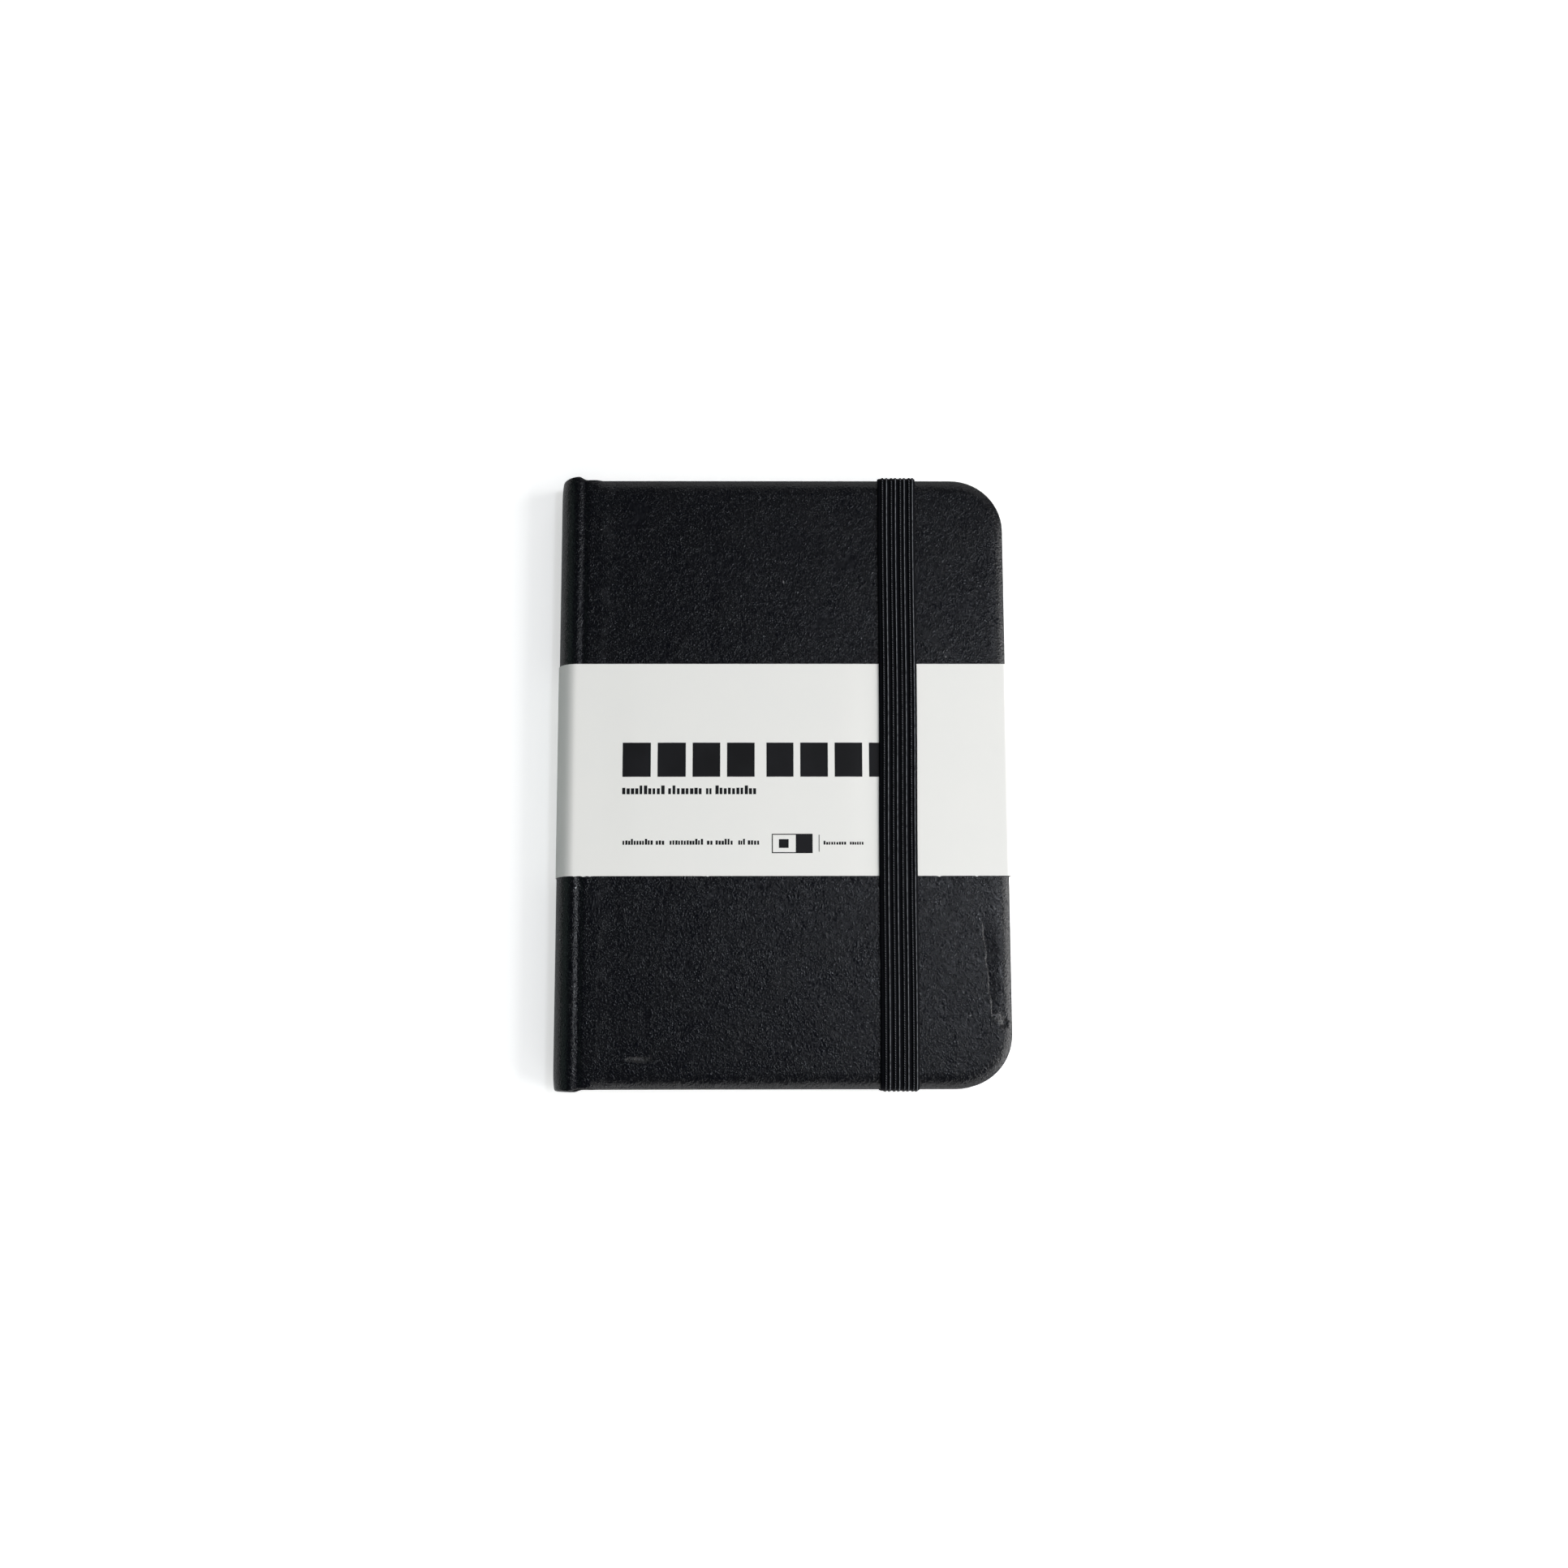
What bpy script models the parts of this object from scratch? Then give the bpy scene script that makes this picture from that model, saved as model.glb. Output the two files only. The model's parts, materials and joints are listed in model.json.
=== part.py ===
"""Case-bound A5 notebook: padded covers, a rounded hollow spine, sewn sections, a paper belly band and a woven strap.

It lies closed on its back cover. +X runs from the spine to the fore edge, +Y from the tail to the head, +Z up.
The origin is under the middle of the notebook, on the surface that it lies on. Lengths are in metres.
"""

import math

import bmesh
import bpy
from mathutils import Matrix, Vector

MM = 0.001

# Paper
PAGE_WIDTH = 141.0 * MM
PAGE_HEIGHT = 206.0 * MM
PAGE_CORNER = 15.0 * MM
SECTION_COUNT = 10
TURNING_SECTIONS = 2
SECTION_THICKNESS = 0.70 * MM
SECTION_PITCH = 0.80 * MM
BACK_ROUNDING = 2.0 * MM
FLYLEAF_THICKNESS = 0.15 * MM
LINING_THICKNESS = 0.25 * MM
THREAD_RADIUS = 0.15 * MM
THREAD_HALF_RUN = 95.0 * MM
HEADBAND_RADIUS = 0.6 * MM

# Covers
COVER_HEIGHT = 210.0 * MM
COVER_FORE_EDGE = 145.0 * MM
COVER_HINGE_EDGE = 6.5 * MM
COVER_CORNER = 18.0 * MM
SKIN_THICKNESS = 0.55 * MM
BOARD_THICKNESS = 1.5 * MM
TURN_IN_THICKNESS = 0.35 * MM
TURN_IN_WIDTH = 12.0 * MM
PASTEDOWN_THICKNESS = 0.15 * MM
PASTEDOWN_INSET = 3.0 * MM
SKIN_EDGE_BEVEL = 0.4 * MM

# Spine
SPINE_SHOULDER = -2.0 * MM
SPINE_BULGE = 6.5 * MM
SPINE_CARD_THICKNESS = 1.2 * MM
SPINE_PANEL_HALF = 4.05 * MM
SPINE_OVERHANG = 0.6 * MM
GROOVE_DEPTH = 0.9 * MM

# Belly band
BAND_THICKNESS = 0.20 * MM
BAND_HEIGHT = 72.8 * MM
BAND_CENTRE = 2.7 * MM
BAND_FLAP = 50.0 * MM

# Elastic strap
STRAP_WIDTH = 13.0 * MM
STRAP_THICKNESS = 0.9 * MM
STRAP_CENTRE = 107.7 * MM
STRAP_END_THICKNESS = 0.30 * MM
STRAP_END_LENGTH = 16.0 * MM
STRAP_BEND = 1.0 * MM
STRAP_STRAND_INSET = 3.0 * MM

# Clearances between neighbours: laminated sheets lie closer than free pieces.
LAMINATE_GAP = 0.10 * MM
PIECE_GAP = 0.30 * MM

# Facets of a quarter circle, the same on nested pieces so that their sides stay parallel.
CORNER_STEPS = 8
SPINE_STEPS = 10
GROOVE_STEPS = 8

# Heights of the layers, from the surface up
BACK_BAND_Z = 0.0
BACK_SKIN_Z = BACK_BAND_Z + BAND_THICKNESS + LAMINATE_GAP
BACK_BOARD_Z = BACK_SKIN_Z + SKIN_THICKNESS + LAMINATE_GAP
BACK_TURN_IN_Z = BACK_BOARD_Z + BOARD_THICKNESS + LAMINATE_GAP
BACK_PASTEDOWN_Z = BACK_TURN_IN_Z + TURN_IN_THICKNESS + LAMINATE_GAP
BACK_FLAP_Z = BACK_PASTEDOWN_Z + PASTEDOWN_THICKNESS + LAMINATE_GAP
BACK_FLYLEAF_Z = BACK_FLAP_Z + BAND_THICKNESS + LAMINATE_GAP
SECTIONS_Z = BACK_FLYLEAF_Z + FLYLEAF_THICKNESS + LAMINATE_GAP
FRONT_FLYLEAF_Z = SECTIONS_Z + SECTION_COUNT * SECTION_PITCH
MIDDLE_Z = (BACK_FLYLEAF_Z + FRONT_FLYLEAF_Z + FLYLEAF_THICKNESS) / 2
HALF_STACK = MIDDLE_Z - BACK_SKIN_Z
STRAP_Z = 2 * MIDDLE_Z - BACK_BAND_Z + LAMINATE_GAP

# Width of everything, which centres the notebook on the origin
BAND_PROUD = LAMINATE_GAP + BAND_THICKNESS
BINDING_X = -(COVER_FORE_EDGE + SPINE_SHOULDER - SPINE_BULGE) / 2

# The covers and the leaves turn about these lines, which run along Y at the spine's shoulder.
HINGE_X = BINDING_X + SPINE_SHOULDER
FRONT_HINGE_Z = 2 * MIDDLE_Z - BACK_FLYLEAF_Z + LAMINATE_GAP / 2
BACK_HINGE_Z = 2 * MIDDLE_Z - FRONT_HINGE_Z

COLOURS = {
    "leather": ((0.013, 0.014, 0.017), 0.48, 0.0),
    "board": ((0.34, 0.30, 0.25), 0.85, 0.0),
    "spine_card": ((0.38, 0.34, 0.28), 0.85, 0.0),
    "endpaper": ((0.80, 0.77, 0.70), 0.80, 0.0),
    "page": ((0.86, 0.83, 0.75), 0.82, 0.0),
    "lining": ((0.70, 0.66, 0.58), 0.90, 0.0),
    "thread": ((0.85, 0.83, 0.78), 0.70, 0.0),
    "headband": ((0.025, 0.026, 0.030), 0.75, 0.0),
    "band": ((0.80, 0.81, 0.79), 0.62, 0.0),
    "strap": ((0.016, 0.016, 0.020), 0.65, 0.0),
}


def clear_scene():
    """Removes every object that the scene starts with."""
    for obj in list(bpy.data.objects):
        bpy.data.objects.remove(obj, do_unlink=True)


def new_collection(name):
    """A collection of that name, linked to the scene."""
    collection = bpy.data.collections.new(name)
    bpy.context.scene.collection.children.link(collection)
    return collection


def material(name):
    """The Principled material that COLOURS describes under that name, made once."""
    found = bpy.data.materials.get(name)
    if found:
        return found
    colour, roughness, metallic = COLOURS[name]
    made = bpy.data.materials.new(name)
    made.use_nodes = True
    shader = made.node_tree.nodes["Principled BSDF"]
    shader.inputs["Base Color"].default_value = (*colour, 1.0)
    shader.inputs["Roughness"].default_value = roughness
    shader.inputs["Metallic"].default_value = metallic
    made.diffuse_color = (*colour, 1.0)
    return made


def curve_to_mesh(curve_object, name):
    """A mesh object in place of a curve object, with the curve's loose caps welded on."""
    bpy.context.view_layer.update()
    evaluated = curve_object.evaluated_get(bpy.context.evaluated_depsgraph_get())
    mesh = bpy.data.meshes.new_from_object(evaluated)
    mesh.name = name
    cleaned = bmesh.new()
    cleaned.from_mesh(mesh)
    bmesh.ops.remove_doubles(cleaned, verts=cleaned.verts, dist=0.00001)
    bmesh.ops.recalc_face_normals(cleaned, faces=cleaned.faces)
    cleaned.to_mesh(mesh)
    cleaned.free()
    place = curve_object.matrix_world.copy()
    bpy.data.objects.remove(curve_object, do_unlink=True)
    made = bpy.data.objects.new(name, mesh)
    made.matrix_world = place
    return made


def prism(name, outline, low, high, axis="Z"):
    """A closed outline pushed straight along an axis, from low to high.

    The outline holds (x, y) for axis Z, (x, z) for axis Y and (y, z) for axis X.
    """
    curve = bpy.data.curves.new(name, "CURVE")
    curve.dimensions = "2D"
    curve.fill_mode = "BOTH"
    curve.extrude = (high - low) / 2
    spline = curve.splines.new("POLY")
    spline.points.add(len(outline) - 1)
    for point, (u, v) in zip(spline.points, outline):
        point.co = (u, v, 0.0, 1.0)
    spline.use_cyclic_u = True
    obj = bpy.data.objects.new(name, curve)
    bpy.context.scene.collection.objects.link(obj)
    middle = (low + high) / 2
    quarter = math.pi / 2
    if axis == "Z":
        obj.location = (0.0, 0.0, middle)
    elif axis == "Y":
        obj.location = (0.0, middle, 0.0)
        obj.rotation_euler = (quarter, 0.0, 0.0)
    else:
        obj.location = (middle, 0.0, 0.0)
        obj.rotation_euler = (quarter, 0.0, quarter)
    return curve_to_mesh(obj, name)


def tube(name, path, radius, bevel_resolution):
    """A round thread or cord with filled caps along a path of points."""
    curve = bpy.data.curves.new(name, "CURVE")
    curve.dimensions = "3D"
    curve.bevel_depth = radius
    curve.bevel_resolution = bevel_resolution
    curve.use_fill_caps = True
    spline = curve.splines.new("POLY")
    spline.points.add(len(path) - 1)
    for point, place in zip(spline.points, path):
        point.co = (*place, 1.0)
    obj = bpy.data.objects.new(name, curve)
    bpy.context.scene.collection.objects.link(obj)
    return curve_to_mesh(obj, name)


def leaf_outline(left, right, half_height, corner):
    """The plan of a cover or leaf: square corners at the spine, round ones at the fore edge."""
    points = [(left, -half_height)]
    for sign in (-1, 1):
        for step in range(CORNER_STEPS + 1):
            turn = math.pi / 2 * (step / CORNER_STEPS if sign > 0 else step / CORNER_STEPS - 1)
            x = right - corner + corner * math.cos(turn)
            y = sign * (half_height - corner) + corner * math.sin(turn)
            points.append((x, y))
    points.append((left, half_height))
    return points


def spine_arc(bulge, half_depth, low_z, high_z):
    """Points of the spine's half ellipse in section, from low_z up to high_z."""
    start = math.asin((low_z - MIDDLE_Z) / half_depth)
    end = math.asin((high_z - MIDDLE_Z) / half_depth)
    points = []
    for step in range(SPINE_STEPS + 1):
        turn = start + (end - start) * step / SPINE_STEPS
        x = BINDING_X + SPINE_SHOULDER - bulge * math.cos(turn)
        points.append((x, MIDDLE_Z + half_depth * math.sin(turn)))
    return points


def shell_outline(outer_inset, thickness, make_path):
    """A closed section between a path and the same path further in by the thickness."""
    outer = make_path(outer_inset)
    inner = make_path(outer_inset + thickness)
    return outer + inner[::-1]


def mirrored_down(points):
    """A section turned over, so that a front piece becomes its back twin."""
    return [(x, 2 * MIDDLE_Z - z) for x, z in reversed(points)]


def back_of_sections(z):
    """How far the rounded back of the text block reaches at this height."""
    share = (z - MIDDLE_Z) / (SECTION_COUNT * SECTION_PITCH / 2)
    return BINDING_X - BACK_ROUNDING * (1 - share * share)


def box(name, low, high):
    """A box between two corners, made from a cube."""
    low, high = Vector(low), Vector(high)
    bpy.ops.mesh.primitive_cube_add(size=1.0, location=(low + high) / 2)
    made = bpy.context.active_object
    made.name = name
    made.data.name = name
    made.data.transform(Matrix.Diagonal((*(high - low), 1.0)))
    return made


def finish_piece(obj, collection, finish, pivot=None):
    """Files a piece under its collection, its material and the empty that it turns or slides with."""
    for owner in list(obj.users_collection):
        owner.objects.unlink(obj)
    collection.objects.link(obj)
    obj.data.materials.clear()
    obj.data.materials.append(material(finish))
    obj.data.shade_smooth()
    obj.data.set_sharp_from_angle(angle=math.radians(30))
    if pivot:
        obj.parent = pivot
        obj.matrix_parent_inverse = Matrix.Translation(-pivot.location)
    return obj


def cut(obj, cutter, cutters):
    """Takes the cutter out of the object, exactly."""
    for owner in list(cutter.users_collection):
        owner.objects.unlink(cutter)
    cutters.objects.link(cutter)
    cutter.hide_render = True
    cutter.display_type = "WIRE"
    modifier = obj.modifiers.new(cutter.name, "BOOLEAN")
    modifier.operation = "DIFFERENCE"
    modifier.solver = "EXACT"
    modifier.object = cutter


def soften_edge(obj, height):
    """Rounds the ring of edges that lies at this height on a flat piece."""
    mesh = bmesh.new()
    mesh.from_mesh(obj.data)
    level = height - obj.matrix_world.translation.z
    ring = [
        edge
        for edge in mesh.edges
        if all(abs(vertex.co.z - level) < 0.00001 for vertex in edge.verts)
        and len(edge.link_faces) == 2
        and any(abs(face.normal.z) < 0.5 for face in edge.link_faces)
    ]
    bmesh.ops.bevel(mesh, geom=ring, offset=SKIN_EDGE_BEVEL, segments=2, affect="EDGES", profile=0.5)
    mesh.to_mesh(obj.data)
    mesh.free()


def cover_layer_outline(inset, corner_inset):
    """The plan of one layer of a cover, smaller than the cover by the inset."""
    return leaf_outline(
        BINDING_X + COVER_HINGE_EDGE,
        BINDING_X + COVER_FORE_EDGE - inset,
        COVER_HEIGHT / 2 - inset,
        COVER_CORNER - corner_inset,
    )


def layer_span(back_z, thickness, front):
    """A layer's low and high faces, given where the back cover's twin starts."""
    if not front:
        return back_z, back_z + thickness
    top = 2 * MIDDLE_Z - back_z
    return top - thickness, top


def make_cover(side, pivot, parts, cutters):
    """The board, skin and pastedown of one cover. The skin is open towards the spine, where the board slides in."""
    front = side == "front"
    board_low, board_high = layer_span(BACK_BOARD_Z, BOARD_THICKNESS, front)
    inset = SKIN_THICKNESS + LAMINATE_GAP
    board = prism(side + "_board", cover_layer_outline(inset, inset), board_low, board_high)
    finish_piece(board, parts, "board", pivot)

    depth = BACK_PASTEDOWN_Z - LAMINATE_GAP - BACK_SKIN_Z
    low, high = layer_span(BACK_SKIN_Z, depth, front)
    skin = prism(side + "_skin", cover_layer_outline(0.0, 0.0), low, high)
    soften_edge(skin, high if front else low)
    pocket_low, pocket_high = layer_span(
        BACK_SKIN_Z + SKIN_THICKNESS,
        BOARD_THICKNESS + 2 * LAMINATE_GAP,
        front,
    )
    overrun = 2 * MM
    pocket_plan = leaf_outline(
        BINDING_X + COVER_HINGE_EDGE - overrun,
        BINDING_X + COVER_FORE_EDGE - SKIN_THICKNESS,
        COVER_HEIGHT / 2 - SKIN_THICKNESS,
        COVER_CORNER - SKIN_THICKNESS,
    )
    cut(skin, prism(side + "_pocket_cutter", pocket_plan, pocket_low, pocket_high), cutters)
    window_low, window_high = layer_span(
        BACK_SKIN_Z + SKIN_THICKNESS + BOARD_THICKNESS / 2,
        BOARD_THICKNESS + TURN_IN_THICKNESS,
        front,
    )
    window_plan = leaf_outline(
        BINDING_X + COVER_HINGE_EDGE - overrun,
        BINDING_X + COVER_FORE_EDGE - TURN_IN_WIDTH,
        COVER_HEIGHT / 2 - TURN_IN_WIDTH,
        COVER_CORNER - TURN_IN_WIDTH,
    )
    cut(skin, prism(side + "_window_cutter", window_plan, window_low, window_high), cutters)
    finish_piece(skin, parts, "leather", pivot)

    low, high = layer_span(BACK_PASTEDOWN_Z, PASTEDOWN_THICKNESS, front)
    plan = cover_layer_outline(PASTEDOWN_INSET, PASTEDOWN_INSET)
    pastedown = prism(side + "_pastedown", plan, low, high)
    finish_piece(pastedown, parts, "endpaper", pivot)
    return skin


def joint_path(inset):
    """The leather's line from the spine's edge over the shoulder, through the groove, to the front board."""
    arc = spine_arc(
        SPINE_BULGE - inset,
        HALF_STACK - inset,
        MIDDLE_Z + SPINE_PANEL_HALF + LAMINATE_GAP,
        MIDDLE_Z + (HALF_STACK - inset) * 0.9999,
    )
    top = MIDDLE_Z + HALF_STACK - inset
    left = BINDING_X + SPINE_SHOULDER
    right = BINDING_X + COVER_HINGE_EDGE - LAMINATE_GAP
    for step in range(1, GROOVE_STEPS + 1):
        share = step / GROOVE_STEPS
        dip = GROOVE_DEPTH * (1 - math.cos(2 * math.pi * share)) / 2
        arc.append((left + (right - left) * share, top - dip))
    return arc


def fold_path(inset):
    """The belly band's line over the same stretch, which bridges the groove."""
    arc = spine_arc(
        SPINE_BULGE - inset,
        HALF_STACK - inset,
        MIDDLE_Z + SPINE_PANEL_HALF + LAMINATE_GAP,
        MIDDLE_Z + (HALF_STACK - inset) * 0.9999,
    )
    arc.append((BINDING_X + COVER_HINGE_EDGE - LAMINATE_GAP, MIDDLE_Z + HALF_STACK - inset))
    return arc


def spine_path(inset):
    """The spine panel's line between the two joints."""
    return spine_arc(
        SPINE_BULGE - inset,
        HALF_STACK - inset,
        MIDDLE_Z - SPINE_PANEL_HALF,
        MIDDLE_Z + SPINE_PANEL_HALF,
    )


def make_spine(parts):
    """The rounded leather panel of the spine and the card that stiffens it from inside."""
    half = COVER_HEIGHT / 2 + SPINE_OVERHANG
    skin = prism("spine_skin", shell_outline(0.0, SKIN_THICKNESS, spine_path), -half, half, "Y")
    finish_piece(skin, parts, "leather")
    inset = SKIN_THICKNESS + LAMINATE_GAP
    half = COVER_HEIGHT / 2
    card = prism("spine_card", shell_outline(inset, SPINE_CARD_THICKNESS, spine_path), -half, half, "Y")
    finish_piece(card, parts, "spine_card")


def make_joints(front_pivot, back_pivot, parts):
    """The bending leather between the spine and each board."""
    half = COVER_HEIGHT / 2 + SPINE_OVERHANG
    section = shell_outline(0.0, SKIN_THICKNESS, joint_path)
    front = prism("front_joint_skin", section, -half, half, "Y")
    finish_piece(front, parts, "leather", front_pivot)
    back = prism("back_joint_skin", mirrored_down(section), -half, half, "Y")
    finish_piece(back, parts, "leather", back_pivot)


def leaf(name, left, low, high, finish, parts, pivot):
    """One sheet or section of paper."""
    plan = leaf_outline(left, left + PAGE_WIDTH, PAGE_HEIGHT / 2, PAGE_CORNER)
    return finish_piece(prism(name, plan, low, high), parts, finish, pivot)


def make_leaves(pivots, parts):
    """The flyleaves and the sections. The first sections turn after the front flyleaf."""
    leaf(
        "front_flyleaf",
        BINDING_X,
        FRONT_FLYLEAF_Z,
        FRONT_FLYLEAF_Z + FLYLEAF_THICKNESS,
        "endpaper",
        parts,
        pivots["front_flyleaf"],
    )
    leaf(
        "back_flyleaf",
        BINDING_X,
        BACK_FLYLEAF_Z,
        BACK_FLYLEAF_Z + FLYLEAF_THICKNESS,
        "endpaper",
        parts,
        pivots["back_flyleaf"],
    )
    for number in range(1, SECTION_COUNT + 1):
        low = SECTIONS_Z + (SECTION_COUNT - number) * SECTION_PITCH
        name = f"section_{number:02d}"
        left = back_of_sections(low + SECTION_THICKNESS / 2)
        leaf(name, left, low, low + SECTION_THICKNESS, "page", parts, pivots.get(name))


def make_binding(parts):
    """What holds the sections together: the thread along their backs, the lining over it and the two headbands.

    The thread stops short of the sections that turn with the front cover.
    """
    thread_x = THREAD_RADIUS + LAMINATE_GAP
    path = []
    for number in range(SECTION_COUNT - TURNING_SECTIONS):
        z = SECTIONS_Z + number * SECTION_PITCH + SECTION_THICKNESS / 2
        x = back_of_sections(z) - thread_x
        ends = (-THREAD_HALF_RUN, THREAD_HALF_RUN)
        for y in ends if number % 2 == 0 else ends[::-1]:
            path.append((x, y, z))
    finish_piece(tube("sewing_thread", path, THREAD_RADIUS, 1), parts, "thread")

    margin = 0.15 * MM
    low_z = SECTIONS_Z + margin
    high_z = FRONT_FLYLEAF_Z - LAMINATE_GAP - margin
    reach = 2 * (THREAD_RADIUS + LAMINATE_GAP) + LAMINATE_GAP
    inner, outer = [], []
    for step in range(SPINE_STEPS + 1):
        z = low_z + (high_z - low_z) * step / SPINE_STEPS
        inner.append((back_of_sections(z) - reach, z))
        outer.append((back_of_sections(z) - reach - LINING_THICKNESS, z))
    half = PAGE_HEIGHT / 2 - 2 * MM
    lining = prism("spine_lining", inner + outer[::-1], -half, half, "Y")
    finish_piece(lining, parts, "lining")

    for name, side in (("headband", 1), ("tailband", -1)):
        y = side * (PAGE_HEIGHT / 2 + LAMINATE_GAP + HEADBAND_RADIUS)
        path = []
        for step in range(SPINE_STEPS + 1):
            z = low_z + (high_z - low_z) * step / SPINE_STEPS
            path.append((back_of_sections(z), y, z))
        finish_piece(tube(name, path, HEADBAND_RADIUS, 2), parts, "headband")


def make_belly_band(front_pivot, back_pivot, parts):
    """The paper band: a panel on each cover with a flap tucked in round the fore edge, and one over the spine."""
    low_y = BAND_CENTRE - BAND_HEIGHT / 2
    high_y = BAND_CENTRE + BAND_HEIGHT / 2
    left = BINDING_X + COVER_HINGE_EDGE
    edge = BINDING_X + COVER_FORE_EDGE + LAMINATE_GAP
    top = 2 * MIDDLE_Z - BACK_BAND_Z
    under = 2 * MIDDLE_Z - BACK_FLAP_Z
    thick = BAND_THICKNESS
    flap_left = BINDING_X + COVER_FORE_EDGE - BAND_FLAP
    section = [
        (left, top),
        (left, top - thick),
        (edge, top - thick),
        (edge, under),
        (flap_left, under),
        (flap_left, under - thick),
        (edge + thick, under - thick),
        (edge + thick, top),
    ]
    front = prism("belly_band_front", section, low_y, high_y, "Y")
    finish_piece(front, parts, "band", front_pivot)
    back = prism("belly_band_back", mirrored_down(section), low_y, high_y, "Y")
    finish_piece(back, parts, "band", back_pivot)

    fold = shell_outline(-BAND_PROUD, thick, fold_path)
    front_fold = prism("belly_band_front_fold", fold, low_y, high_y, "Y")
    finish_piece(front_fold, parts, "band", front_pivot)
    back_fold = prism("belly_band_back_fold", mirrored_down(fold), low_y, high_y, "Y")
    finish_piece(back_fold, parts, "band", back_pivot)

    spine = prism("belly_band_spine", shell_outline(-BAND_PROUD, thick, spine_path), low_y, high_y, "Y")
    finish_piece(spine, parts, "band")


def leg_section():
    """The strap's section at the head: up past the covers' edges, then over onto the front."""
    inner_y = COVER_HEIGHT / 2 + LAMINATE_GAP
    outer_y = inner_y + STRAP_THICKNESS
    low = BACK_TURN_IN_Z
    end_y = COVER_HEIGHT / 2 - STRAP_STRAND_INSET
    bend_y = inner_y - STRAP_BEND
    bend_z = STRAP_Z - STRAP_BEND
    outer, inner = [(outer_y, low)], [(inner_y, low)]
    for step in range(CORNER_STEPS + 1):
        turn = math.pi / 2 * step / CORNER_STEPS
        for line, radius in ((outer, STRAP_BEND + STRAP_THICKNESS), (inner, STRAP_BEND)):
            line.append((bend_y + radius * math.cos(turn), bend_z + radius * math.sin(turn)))
    outer.append((end_y, STRAP_Z + STRAP_THICKNESS))
    inner.append((end_y, STRAP_Z))
    return outer + inner[::-1]


def make_strap(strap_pivot, back_pivot, back_skin, parts, cutters):
    """The strap's strand over the front, its two legs, and its ends glued inside the back cover."""
    left = BINDING_X + STRAP_CENTRE - STRAP_WIDTH / 2
    right = left + STRAP_WIDTH
    end_y = COVER_HEIGHT / 2 - STRAP_STRAND_INSET - PIECE_GAP
    strand = box(
        "strap_strand",
        (left, -end_y, STRAP_Z),
        (right, end_y, STRAP_Z + STRAP_THICKNESS),
    )
    finish_piece(strand, parts, "strap", strap_pivot)
    section = leg_section()
    head = prism("strap_leg_head", section, left, right, "X")
    finish_piece(head, parts, "strap", strap_pivot)
    turned = [(-y, z) for y, z in reversed(section)]
    tail = prism("strap_leg_tail", turned, left, right, "X")
    finish_piece(tail, parts, "strap", strap_pivot)
    outer = COVER_HEIGHT / 2
    for name, side in (("head", 1), ("tail", -1)):
        span = sorted((side * (outer - STRAP_END_LENGTH), side * (outer - LAMINATE_GAP)))
        end = box(
            "strap_end_" + name,
            (left, span[0], BACK_TURN_IN_Z),
            (right, span[1], BACK_TURN_IN_Z + STRAP_END_THICKNESS),
        )
        finish_piece(end, parts, "strap", back_pivot)
        span = sorted((side * (outer - STRAP_END_LENGTH - LAMINATE_GAP), side * (outer + MM)))
        notch = box(
            "strap_notch_cutter_" + name,
            (left - LAMINATE_GAP, span[0], BACK_TURN_IN_Z - LAMINATE_GAP),
            (right + LAMINATE_GAP, span[1], BACK_PASTEDOWN_Z),
        )
        cut(back_skin, notch, cutters)


def make_pivot(name, place, collection):
    """An empty on a joint's line."""
    empty = bpy.data.objects.new(name, None)
    empty.empty_display_size = 10 * MM
    empty.location = place
    collection.objects.link(empty)
    return empty


def main():
    """Builds the notebook."""
    clear_scene()
    parts = new_collection("Notebook")
    cutters = new_collection("Cutters")
    front_line = (HINGE_X, 0.0, FRONT_HINGE_Z)
    back_line = (HINGE_X, 0.0, BACK_HINGE_Z)
    pivots = {
        "front_cover": make_pivot("front_cover_pivot", front_line, parts),
        "back_cover": make_pivot("back_cover_pivot", back_line, parts),
        "front_flyleaf": make_pivot("front_flyleaf_pivot", front_line, parts),
        "section_01": make_pivot("section_01_pivot", front_line, parts),
        "section_02": make_pivot("section_02_pivot", front_line, parts),
        "back_flyleaf": make_pivot("back_flyleaf_pivot", back_line, parts),
        "strap": make_pivot("strap_pivot", (BINDING_X + STRAP_CENTRE, 0.0, STRAP_Z), parts),
    }
    bpy.context.view_layer.update()
    make_cover("front", pivots["front_cover"], parts, cutters)
    back_skin = make_cover("back", pivots["back_cover"], parts, cutters)
    make_spine(parts)
    make_joints(pivots["front_cover"], pivots["back_cover"], parts)
    make_leaves(pivots, parts)
    make_binding(parts)
    make_belly_band(pivots["front_cover"], pivots["back_cover"], parts)
    make_strap(pivots["strap"], pivots["back_cover"], back_skin, parts, cutters)
    bpy.context.view_layer.update()


main()
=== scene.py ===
"""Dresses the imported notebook: leather over the boards, a rounded spine, sewn pages, a paper band and a woven strap.

Every length is in metres. +X runs from the spine to the fore edge, +Y from the tail to the head, +Z out of the front.
"""

import json
import logging
import math
import random
from collections.abc import Callable, Iterable, Sequence
from dataclasses import dataclass, field
from enum import Enum

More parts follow.
